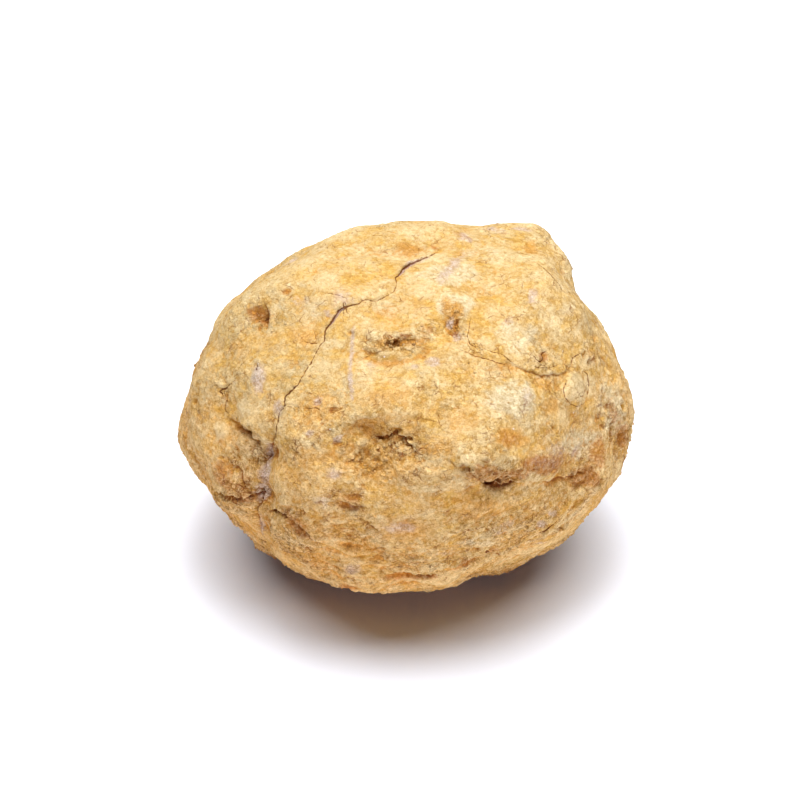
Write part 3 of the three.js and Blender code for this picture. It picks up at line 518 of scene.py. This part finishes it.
def patchDistance(shell, points, patch):    # 0 in the patch's middle and 1 at its edge
    azimuth, elevation, reachAcross, reachUp, turn = patch[:5]
    spot = shell.at(azimuth, elevation)
    across, up = tangents((spot - heart).normalized())
    c, s = math.cos(math.radians(turn)), math.sin(math.radians(turn))
    across, up = across * c + up * s, up * c - across * s
    offset = (points - np.array(spot)) / mm
    outwards = np.array(across.cross(up))
    return np.sqrt((offset @ np.array(across) / reachAcross) ** 2 + (offset @ np.array(up) / reachUp) ** 2
                   + (offset @ outwards / max(reachAcross, reachUp, 1.5)) ** 2)


def zoneMask(shell, points, patches, warp):
    mask = np.zeros(len(points))
    for patch in patches:
        away = patchDistance(shell, points, patch) + 0.3 * warp
        mask = np.maximum(mask, patch[5] * ease(1.6, 0.35, away))
    return mask


def pointArrays(mesh):
    points = np.empty(len(mesh.vertices) * 3, dtype=np.float64)
    mesh.vertices.foreach_get("co", points)
    normals = np.empty(len(mesh.vertices) * 3, dtype=np.float64)
    mesh.vertices.foreach_get("normal", normals)
    ends = np.empty(len(mesh.edges) * 2, dtype=np.int64)
    mesh.edges.foreach_get("vertices", ends)
    return points.reshape(-1, 3), normals.reshape(-1, 3), ends.reshape(-1, 2)


def storeMasks(mesh, marks):
    for name, values in marks.items():
        mesh.attributes.new(name, "FLOAT", "POINT").data.foreach_set("value", values.astype(np.float32))


crust = copyOfSolid("geode_crust")
print("skin:", len(crust.data.vertices), "points")
bm = bmesh.new()
bm.from_mesh(crust.data)
for i in range(stone["easing"]):
    bmesh.ops.smooth_vert(bm, verts=bm.verts, factor=0.5, use_axis_x=True, use_axis_y=True, use_axis_z=True)
shell = Shell(bm)
spots = sum((shell.along(cracks.get(name) or ledges[name], 0, 0.5 * mm) for name in stone["fineLines"]), [])
lines = KDTree(len(spots))
for i, spot in enumerate(spots):
    lines.insert(spot[0], i)
lines.balance()
near = {v for v in bm.verts if lines.find(v.co)[2] < stone["fineReach"]}
edges = [e for e in bm.edges if e.verts[0] in near and e.verts[1] in near]
bmesh.ops.subdivide_edges(bm, edges=edges, cuts=1, use_grid_fill=True)
bmesh.ops.triangulate(bm, faces=bm.faces)
print("triangles:", len(bm.faces))
bm.to_mesh(crust.data)
bm.free()

points, normals, ends = pointArrays(crust.data)
local = (points - np.array(heart)) / mm
elevation = np.degrees(np.arcsin(local[:, 2] / np.linalg.norm(local, axis=1)))
warp = fractal(local, 2.4, 4, 1)
warp += 0.5 * fractal(local, 0.8, 2, 2)
marks = {name: zoneMask(shell, points, patches, warp) for name, patches in zones.items()}
grainy = 0.38 + 0.22 * ease(22, 0, elevation) + 0.3 * fractal(local, 9.0, 3, 3)    # rougher low down
grainy *= ease(62, 30, elevation)    # and smooth on top
grainy *= 1 - 0.8 * marks["pale"]
marks["rough"] = np.clip(np.maximum(marks["rough"], grainy) * (1 - 0.5 * marks["pale"]), 0, 1)
print("zones laid out")

rough = marks["rough"]
some = 0.16 + 0.84 * rough    # smooth clay has a sixth of what rough clay has
size, spacing = stone["lumps"]
relief = size * fractal(local, spacing, 3, 4)
size, spacing = stone["flakes"]
level = fractal(local * (1, 1, 1.6), spacing, 4, 5) * 3.2    # flat flakes, one level over another
stepped = np.floor(level) + ease(0.78, 1.0, level - np.floor(level))
relief += size * (stepped - 0.8 * level) * (1 - 0.5 * rough)
size, spacing = stone["chips"]
near1, near2, own = cells(local * (1, 1, 1.35) + 0.45 * warp[:, None], spacing, 6)
relief += size * some * (1.3 * own - 0.5 * ease(0.13, 0.0, near2 - near1))
size, spacing = stone["crumble"]
clods = np.abs(fractal(local + 0.3 * warp[:, None], spacing, 3, 7))
relief += size * rough * (np.minimum(clods * 2.2, 0.7) - 0.35)
size, spacing = stone["shelves"]
down = -local[:, 2] / spacing + 1.0 * fractal(local * (1, 1, 0.8), 4.2, 3, 12)
down -= np.floor(down)    # 0 just under a shelf, 1 at the lip of the next one
present = ease(-0.12, 0.25, fractal(local * (0.7, 0.7, 1.2), 2.2, 2, 13)) * ease(0.3, 0.75, rough)
relief += size * present * (down ** 1.5 - 0.4)
# painted shade just under each shelf
marks["shelfShade"] = present * ease(0.16, 0.0, down)
size, spacing = stone["beds"]
low = ease(6, -6, local[:, 2]) * ease(-25, -21, local[:, 2])
relief += size * low * fractal(local * (0.25, 0.25, 1.0) + 0.2 * warp[:, None], spacing, 3, 8) * 1.4
size, spacing = stone["grain"]
relief += size * fractal(local, spacing, 2, 9) * (0.5 + rough)
size, spacing = stone["holes"]
relief -= size * ease(0.50, 0.85, fractal(local, spacing, 3, 10)) * (0.1 + 0.9 * rough)
print("crust relief made")

for patch in hollows:
    away = patchDistance(shell, points, patch) + 0.2 * warp
    rim = stone["rimShare"] * patch[5] * np.exp(-((away - 1.6) / 0.35) ** 2)
    relief += -patch[5] * ease(1.3, 0.4, away) + rim

steps = Trail(points, sum((shell.along(path, stone["ledgeStray"]) for path in ledges.values()), []))
s = steps.right
lift = np.exp(-(s / 0.9) ** 2) * ease(0.06, -0.06, s)
drop = np.exp(-(s / 0.75) ** 2) * ease(-0.06, 0.14, s)
ragged = 0.8 + 0.5 * fractal(local, 1.2, 2, 11)
relief += steps.value * ragged * (stone["edgeShare"] * lift - 1.0 * drop)

seams = Trail(points, sum((shell.along(path, stone["crackStray"]) for path in cracks.values()), []))
s = np.abs(seams.right)
groove = ease(1.3, 0.4, s / np.maximum(0.5 * seams.value, 0.1))
relief -= (0.12 + 0.5 * seams.value) * groove
relief += stone["crackRim"] * np.exp(-((s - 0.6) / 0.35) ** 2)
print("cracks and ledges made")

footing = ease(0.0, stone["footing"], points[:, 2] / mm)    # the flat spot stays flat
moved = points + normals * (relief * footing)[:, None] * mm
moved[:, 2] = np.maximum(moved[:, 2], 0)
crust.data.vertices.foreach_set("co", moved.ravel())
crust.data.update()
crust.data.shade_smooth()

points, normals, ends = pointArrays(crust.data)
count = np.bincount(ends.ravel(), minlength=len(points))
eased = points
done = 0
for name, (passes, full) in stone["hollowSizes"].items():
    for i in range(passes - done):
        eased = neighbourMean(eased, ends, count)
    done = passes
    depth = ((eased - points) * normals).sum(1) / mm    # over 0 in hollows, under 0 on ridges
    marks[name] = np.clip(depth / full, -1, 1)
    print(name, "mm:", np.percentile(depth, (1, 50, 99)).round(3))
marks["seamSide"] = np.clip(seams.right, -2, 2)
marks["seamHalf"] = 0.5 * np.maximum(seams.value, 0.1) * ease(2.0, 1.6, np.abs(seams.right))
marks["stepSide"] = np.clip(steps.right, -2, 2)
marks["stepDepth"] = steps.value
marks["tone"] = np.zeros(len(points))    # only the crumbs differ in tone
storeMasks(crust.data, marks)
print("masks stored")

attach(crust, "root")
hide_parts("geode")

crumbs = {
    "count": 9000,
    "small": 0.10 * mm,     # radius of the smallest grain
    "large": 0.36 * mm,
    "mostlySmall": 2.8,
    "squash": (0.55, 0.9),
    "narrowing": (0.65, 1.0),
    "tilt": 0.5,            # radians either way
    "fullTurn": 6.28,
    "aside": 0.2,           # mm either way
    "jitter": 0.20,         # share by which a corner is pushed in or out
    "sunk": 0.55,
    "everywhere": 0.02,     # share that lies on smooth clay too
    "clearOfFoot": 1.2 * mm,
    "hollowShadeShare": (0.4, -0.25),  # a grain takes less of the colour and painted shade of the hollow that it lies in
    "seed": 11,
    "chunk": 100,           # grains made at a time
}


def makeCrumbs():
    draw = random.Random(crumbs["seed"])
    area = np.zeros(len(points))
    mesh = crust.data
    corners = np.array([tuple(t.vertices) for t in mesh.polygons])
    faceArea = np.array([t.area for t in mesh.polygons])
    for i in range(3):
        area += np.bincount(corners[:, i], faceArea / 3, len(points))
    clump = ease(-0.25, 0.6, fractal(local, 1.4, 3, 21))
    crowd = (crumbs["everywhere"] + ease(0.4, 1.0, marks["rough"])) * (0.15 + clump)
    crowd *= 1 - 0.8 * np.clip(marks["chalcedony"], 0, 1)
    crowd *= 1 + 0.8 * np.clip(marks["hollowBroad"], 0, 1)
    crowd[points[:, 2] < crumbs["clearOfFoot"]] = 0
    weights = np.cumsum(area * crowd)
    chosen = np.searchsorted(weights, [draw.random() * weights[-1] for i in range(crumbs["count"])])
    tilt, fullTurn, stray = crumbs["tilt"], crumbs["fullTurn"], crumbs["aside"]
    total = bmesh.new()
    for start in range(0, len(chosen), crumbs["chunk"]):
        chunk = bmesh.new()
        for place in chosen[start:start + crumbs["chunk"]]:
            share = draw.random() ** crumbs["mostlySmall"]
            radius = crumbs["small"] + (crumbs["large"] - crumbs["small"]) * share
            flat = draw.uniform(*crumbs["squash"])
            way = Vector(normals[place])
            turn = way.to_track_quat("Z", "Y").to_matrix().to_4x4()
            spin = Euler((draw.uniform(-tilt, tilt), draw.uniform(-tilt, tilt), draw.uniform(0, fullTurn)))
            aside = Vector((draw.uniform(-stray, stray), draw.uniform(-stray, stray), 0)) * mm
            sink = way * radius * flat * (1 - 2 * crumbs["sunk"])
            middle = Vector(points[place]) + turn.to_3x3() @ aside + sink
            narrow = radius * draw.uniform(*crumbs["narrowing"])
            size = Matrix.Diagonal((radius, narrow, radius * flat, 1))
            shape = Matrix.Translation(middle) @ turn @ spin.to_matrix().to_4x4() @ size
            grain = bmesh.ops.create_icosphere(chunk, subdivisions=1, radius=1.0)["verts"]
            for v in grain:
                v.co *= 1 + draw.uniform(-crumbs["jitter"], crumbs["jitter"])
                v.co = shape @ v.co
        mesh = bmeshToMesh(chunk, "chunk")
        total.from_mesh(mesh)
        bpy.data.meshes.remove(mesh)
    piece = newObject("clay_crumbs", bmeshToMesh(total, "clay_crumbs"))
    perGrain = len(piece.data.vertices) // len(chosen)
    own = {name: np.repeat(values[chosen], perGrain) for name, values in marks.items()}
    share, shift = crumbs["hollowShadeShare"]
    for name in ("hollowFine", "hollowMid"):
        own[name] = own[name] * share + shift
    for name in ("seamHalf", "stepDepth", "shelfShade"):    # no crack, ledge or painted shade under a shelf is drawn on a grain
        own[name][:] = 0
    own["tone"] = np.repeat([draw.uniform(-1, 1) for i in chosen], perGrain)
    storeMasks(piece.data, own)
    print("crumbs:", len(chosen), "triangles:", len(piece.data.polygons))
    return piece


grains = makeCrumbs()
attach(grains, "root")

clay = {
    "gold": "#c99e5c",
    "buff": "#c5a974",
    "cream": "#d2bb8e",
    "iron": "#c8913c",
    "ochre": "#cca250",
    "brown": "#ac6c2c",
    # umber is the clay's deep brown, and also the painted shade in crevices, hairlines, under beds, shelves
    # and ledges, and on the underside
    "umber": "#84460e",
    "shadow": "#663412",
    "lilac": "#c0aa9a",
    "ash": "#cdbe9c",
    "milk": "#eae2da",
    "soot": "#3c3834",
    "mauve": "#b89c8c",
    # spacing in mm, how flat it lies, detail and roughness of each pattern
    "patterns": {
        "patch": (7.0, 1.5, 4, 0.55),
        "breaks": (2.6, 1.0, 3, 0.60),
        "mottle": (3.2, 2.0, 5, 0.56),
        "veil": (0.9, 1.8, 4, 0.60),
        "fleck": (0.5, 1.5, 4, 0.70),
        "dust": (0.2, 1.0, 2, 0.70),
    },
    # clay scales and grains: spacing and how far their edges wander, in mm
    "scales": (2.1, 1.4),
    "grains": (0.52, 0.25),
    # hairlines and crevices: the same, then their width as a share of the spacing, and how flat they lie
    "hairlines": (2.6, 1.1, 0.030, 1.8),
    "crevices": (1.1, 0.6, 0.10, 1.7),
    "sway": 1.7,                    # spacing in mm of what makes them wander
    "laminae": (1.15, 4.5, 0.9),    # spacing in mm of the thin beds, and how far two patterns bend them
    "specks": (1.6, 0.10),          # spacing in mm, and size as a share of it
    # where each share runs from 0 to 1, in mm along an axis
    "fades": {"top": ("Z", 28, 44), "foot": ("Z", 44, 14), "under": ("Z", 7.5, 4.5), "left": ("X", 8, -14)},
    # painted light and shade of each pattern, as a share of the colour; on mottle, fleck and dust the high
    # parts of the bumps are lighter and the low parts darker
    "shades": {"mottle": 0.06, "scales": 0.04, "grains": 0.12, "fleck": 0.30, "dust": 0.34},
    "shadeTint": (0.80, 1.05, 1.45),    # the darker grains and painted shade are warmer, the lighter grains and painted light creamier
    "tint": (0.955, 0.922, 0.875),      # what all the colours are multiplied by
    "footGain": (1.19, 1.09, 0.93),     # painted light: the lower clay, where less light falls, is made lighter and warmer
    "leftGain": (1.04, 0.98, 0.94),     # and on the left it is richer in iron
    "reliefs": {"shelf": 0.16, "crevices": -0.12, "hairlines": -0.07},    # in mm
    # height of each pattern in mm, and how far scales and grains lean:
    # on smooth clay, and what rough clay adds
    "bumps": {"mottle": (0.05, 0.05), "fleck": (0.12, 0.27), "dust": (0.06, 0.08),
              "scalesLean": (300, 500), "grainsLean": (250, 700)},
    "gloss": 0.25,
    "dullness": (0.95, 0.5),    # roughness of dry clay, and of bare chalcedony
}


def clayMaterial():
    # dry, dusty and matt, crumbling in places, with waxy chalcedony where it is bare
    material, tree = newMaterial("dried clay over chalcedony")
    place = addNode(tree, "TexCoord", {}, out="Object")
    mark = {name: addNode(tree, "Attribute", {}, out="Fac", attribute_name=name) for name in marks}
    for name, (spacing, lie, detail, roughness) in clay["patterns"].items():
        laid = addNode(tree, "VectorMath", {0: place, 1: (1, 1, lie)}, operation="MULTIPLY")
        mark[name] = addNode(tree, "TexNoise", {
            "Vector": laid, "Scale": 1 / (spacing * mm), "Detail": detail, "Roughness": roughness})
    axes = addNode(tree, "SeparateXYZ", {"Vector": place}).node.outputs
    for name, (axis, start, end) in clay["fades"].items():
        mark[name] = addNode(tree, "MapRange", {
            "Value": axes[axis], "From Min": start * mm, "From Max": end * mm})
    mark["left"] = addNode(tree, "Math", {0: mark["left"], 1: mark["foot"]}, operation="MULTIPLY")

    sway = addNode(
        tree, "TexNoise", {"Vector": place, "Scale": 1 / (clay["sway"] * mm), "Detail": 4}, out="Color")
    swayed = {}
    for name in ("scales", "grains", "hairlines", "crevices"):
        wander = (clay[name][1] * mm,) * 3
        swayed[name] = addNode(tree, "VectorMath", {0: sway, 1: wander, 2: place}, operation="MULTIPLY_ADD")
    for name in ("scales", "grains"):
        spacing = clay[name][0]
        cell = addNode(tree, "TexVoronoi", {"Vector": swayed[name], "Scale": 1 / (spacing * mm)}, out="Color")
        mark[name] = addNode(tree, "SeparateColor", {"Color": cell})
        middle = cell.node.outputs["Position"]
        offset = addNode(tree, "VectorMath", {0: swayed[name], 1: middle}, operation="SUBTRACT")
        lean = addNode(tree, "VectorMath", {0: cell, 1: (0.5, 0.5, 0.5)}, operation="SUBTRACT")
        mark[name + "Lean"] = addNode(
            tree, "VectorMath", {0: offset, 1: lean}, out="Value", operation="DOT_PRODUCT")
    for name in ("hairlines", "crevices"):
        spacing, wander, width, lie = clay[name]
        laid = addNode(tree, "VectorMath", {0: swayed[name], 1: (1, 1, lie)}, operation="MULTIPLY")
        edge = addNode(
            tree, "TexVoronoi", {"Vector": laid, "Scale": 1 / (spacing * mm)}, feature="DISTANCE_TO_EDGE")
        line = addNode(tree, "MapRange", {"Value": edge, "From Min": width, "From Max": 0.2 * width})
        broken = addNode(tree, "MapRange", {"Value": mark["breaks"], "From Min": 0.51, "From Max": 0.64})
        mark[name] = addNode(tree, "Math", {0: line, 1: broken}, operation="MULTIPLY")
    mark["crevices"] = addNode(tree, "Math", {0: mark["crevices"], 1: mark["rough"]}, operation="MULTIPLY")
    spacing, wide, fine = clay["laminae"]    # beds that lie level, one under another
    sunk = addNode(tree, "Math", {0: axes["Z"], 1: -1 / (spacing * mm), 2: 0}, operation="MULTIPLY_ADD")
    for name, share in (("mottle", wide), ("veil", fine)):
        sunk = addNode(tree, "Math", {0: mark[name], 1: share, 2: sunk}, operation="MULTIPLY_ADD")
    shelf = addNode(tree, "Math", {0: sunk}, operation="FRACT")
    kept = addNode(tree, "MapRange", {"Value": mark["breaks"], "From Min": 0.44, "From Max": 0.60})
    kept = addNode(tree, "Math", {0: kept, 1: mark["rough"]}, operation="MULTIPLY")
    mark["shelf"] = addNode(tree, "Math", {0: kept, 1: shelf}, operation="MULTIPLY")
    # painted shade just under the step of each bed
    shaded = addNode(tree, "MapRange", {"Value": shelf, "From Min": 0.20, "From Max": 0.02})
    mark["laminae"] = addNode(tree, "Math", {0: kept, 1: shaded}, operation="MULTIPLY")

    spacing, reach = clay["specks"]
    cell = addNode(tree, "TexVoronoi", {"Vector": place, "Scale": 1 / (spacing * mm)}, out="Distance")
    chance = addNode(tree, "SeparateColor", {"Color": cell.node.outputs["Color"]})
    speck = addNode(tree, "MapRange", {"Value": cell, "From Min": reach, "From Max": 0.6 * reach})
    for name, low, high in (("soot", 0.93, 0.94), ("glint", 0.05, 0.04)):
        picked = addNode(tree, "MapRange", {"Value": chance, "From Min": low, "From Max": high})
        mark[name] = addNode(tree, "Math", {0: speck, 1: picked}, operation="MULTIPLY")

    # cracks are painted with shade, with a lighter core where they are wide, and each ledge has painted shade
    # under it
    uneven = addNode(tree, "Math", {0: mark["fleck"], 1: 0.35, 2: -0.175}, operation="MULTIPLY_ADD")
    beside = addNode(tree, "Math", {0: mark["seamSide"]}, operation="ABSOLUTE")
    beside = addNode(tree, "Math", {0: beside, 1: uneven}, operation="ADD")
    inner = addNode(tree, "Math", {0: mark["seamHalf"], 1: 0.65}, operation="MULTIPLY")
    outer = addNode(tree, "Math", {0: mark["seamHalf"], 1: 1.1, 2: 0.001}, operation="MULTIPLY_ADD")
    mark["seam"] = addNode(tree, "MapRange", {"Value": beside, "From Min": outer, "From Max": inner})
    inner = addNode(tree, "Math", {0: mark["seamHalf"], 1: 0.15}, operation="MULTIPLY")
    outer = addNode(tree, "Math", {0: mark["seamHalf"], 1: 0.6}, operation="MULTIPLY")
    core = addNode(tree, "MapRange", {"Value": beside, "From Min": outer, "From Max": inner})
    wide = addNode(tree, "MapRange", {"Value": mark["seamHalf"], "From Min": 0.16, "From Max": 0.26})
    mark["core"] = addNode(tree, "Math", {0: core, 1: wide}, operation="MULTIPLY")
    below = addNode(tree, "Math", {0: mark["stepSide"], 1: uneven}, operation="ADD")
    under = addNode(tree, "MapRange", {"Value": below, "From Min": -0.05, "From Max": 0.08})
    reach = addNode(tree, "Math", {0: mark["stepDepth"], 1: 0.8, 2: 0.2}, operation="MULTIPLY_ADD")
    fading = addNode(tree, "MapRange", {"Value": below, "From Min": reach, "From Max": 0.1})
    mark["step"] = addNode(tree, "Math", {0: under, 1: fading}, operation="MULTIPLY")
    mark["step"] = addNode(tree, "Math", {0: mark["step"], 1: mark["stepDepth"]}, operation="MULTIPLY")

    # colour, where it lies, the pattern that frays its edge and how much,
    # from where to where, and at most how strong
    layers = [
        ("buff", "patch", "veil", 0.2, 0.40, 0.62, 0.7),
        ("buff", "top", "mottle", 0.6, 0.3, 0.9, 0.6),
        ("cream", "mottle", "veil", 0.25, 0.46, 0.66, 0.70),
        ("ochre", "mottle", "veil", 0.25, 0.52, 0.34, 0.80),
        ("cream", "scales", "veil", 0.8, 0.55, 0.95, 0.22),
        ("ochre", "scales", "veil", 0.8, 0.45, 0.05, 0.25),
        # partly the clay's own iron colour, partly painted shade in broad hollows and painted highlight on
        # the ridges
        ("iron", "hollowBroad", "veil", 0.5, 0.15, 0.9, 0.60),
        ("cream", "hollowBroad", "veil", 0.5, -0.25, -0.9, 0.35),
        ("ash", "ash", "mottle", 0.9, 0.25, 0.75, 0.8),
        ("cream", "pale", "mottle", 0.9, 0.20, 0.80, 0.80),
        ("iron", "gold", "mottle", 0.9, 0.25, 0.95, 0.85),
        # brown zones: the clay's brown, partly painted shade
        ("brown", "brown", "veil", 1.0, 0.25, 0.85, 0.80),
        ("umber", "brown", "veil", 1.2, 0.75, 1.25, 0.50),
        # browner in small hollows and creamier on small ridges: partly the clay's own colour, partly painted
        # shade and painted highlight
        ("brown", "hollowMid", "fleck", 0.4, 0.2, 1.0, 0.45),
        ("iron", "hollowFine", "fleck", 0.3, 0.20, 0.90, 0.40),
        ("cream", "hollowFine", "fleck", 0.3, -0.20, -0.90, 0.30),
        ("lilac", "chalcedony", "veil", 1.2, 0.15, 0.95, 0.80),
        ("milk", "chalcedony", "dust", 2.0, 0.9, 1.3, 0.35),
        ("cream", "grains", "dust", 0.3, 0.70, 0.95, 0.18),
        ("ochre", "grains", "dust", 0.3, 0.30, 0.05, 0.18),
        # painted shade: the underside is darker, which also deepens the shadow on the floor under the stone
        ("umber", "under", "veil", 0.4, 0.1, 0.8, 0.7),
        # painted shade under each bed
        ("umber", "laminae", "fleck", 0.5, 0.1, 0.7, 0.55),
        # painted shade in the crevices and hairlines
        ("umber", "crevices", "fleck", 0.2, 0.1, 0.8, 0.60),
        ("umber", "hairlines", "fleck", 0.2, 0.1, 0.7, 0.60),
        # painted shade under each shelf
        ("umber", "shelfShade", "fleck", 0.5, 0.1, 0.7, 0.75),
        # painted shade under each ledge, then painted shade in each crack
        ("umber", "step", "fleck", 0.1, 0.02, 0.50, 0.90),
        ("shadow", "seam", "fleck", 0.1, 0.1, 0.7, 0.90),
        ("mauve", "core", "fleck", 0.3, 0.2, 0.8, 0.90),
        ("cream", "tone", "dust", 0.2, 0.2, 1.0, 0.30),
        ("iron", "tone", "dust", 0.2, -0.3, -1.0, 0.30),
        ("soot", "soot", "dust", 0.1, 0.2, 0.7, 0.7),
        ("milk", "glint", "dust", 0.1, 0.2, 0.7, 0.8),
    ]
    colour = hexColour(clay["gold"])
    for tone, where, fray, ragged, low, high, most in layers:
        edge = addNode(tree, "Math", {0: mark[fray], 1: ragged, 2: mark[where]}, operation="MULTIPLY_ADD")
        amount = addNode(tree, "MapRange", {
            "Value": edge, "From Min": low + ragged / 2, "From Max": high + ragged / 2, "To Max": most},
            interpolation_type="SMOOTHSTEP")
        laid = {0: amount, 6: colour, 7: hexColour(clay[tone])}    # 6 and 7 are the two colours
        colour = addNode(tree, "Mix", laid, out=2, data_type="RGBA")
    shade = 0.0
    # painted shade on the low parts of the bumps and painted light on their high parts, along with the clay's
    # own mottling, stronger on rough clay
    coarse = addNode(tree, "Math", {0: mark["rough"], 1: 0.6, 2: 0.75}, operation="MULTIPLY_ADD")
    for name, share in clay["shades"].items():
        part = addNode(tree, "MapRange", {
            "Value": mark[name], "From Min": 0.2, "From Max": 0.8, "To Min": -share, "To Max": share})
        shade = addNode(tree, "Math", {0: part, 1: coarse, 2: shade}, operation="MULTIPLY_ADD")
    shade = addNode(
        tree, "VectorMath", {0: shade, 1: clay["shadeTint"], 2: clay["tint"]}, operation="MULTIPLY_ADD")
    colour = addNode(tree, "VectorMath", {0: colour, 1: shade}, operation="MULTIPLY")
    # painted light on the lower clay, and more iron on the lower left
    for name in ("foot", "left"):
        laid = {0: mark[name], 6: (1, 1, 1, 1), 7: (*clay[name + "Gain"], 1)}
        rich = addNode(tree, "Mix", laid, out=2, data_type="RGBA")
        colour = addNode(tree, "VectorMath", {0: colour, 1: rich}, operation="MULTIPLY")

    height = 0.0
    for name, tall in clay["reliefs"].items():
        height = addNode(tree, "Math", {0: mark[name], 1: tall, 2: height}, operation="MULTIPLY_ADD")
    for name, (smooth, more) in clay["bumps"].items():
        tall = addNode(tree, "Math", {0: mark["rough"], 1: more, 2: smooth}, operation="MULTIPLY_ADD")
        height = addNode(tree, "Math", {0: mark[name], 1: tall, 2: height}, operation="MULTIPLY_ADD")
    bump = addNode(tree, "Bump", {"Height": height, "Strength": 1.0, "Distance": 1 * mm})
    waxy = addNode(tree, "Math", {0: mark["chalcedony"], 1: mark["glint"]}, operation="MAXIMUM")
    dry, bare = clay["dullness"]
    dullness = addNode(tree, "MapRange", {"Value": waxy, "From Min": 0.2, "To Min": dry, "To Max": bare})
    shader = addNode(tree, "BsdfPrincipled", {
        "Base Color": colour, "Roughness": dullness, "Normal": bump, "Specular IOR Level": clay["gloss"]})
    addNode(tree, "OutputMaterial", {"Surface": shader})
    return material


clayCrust = clayMaterial()
for piece in (crust, grains):
    piece.data.materials.clear()
    piece.data.materials.append(clayCrust)
print("clay finished")

print("cad", [round(v / mm, 2) for v in (*cadLow, *cadHigh)])
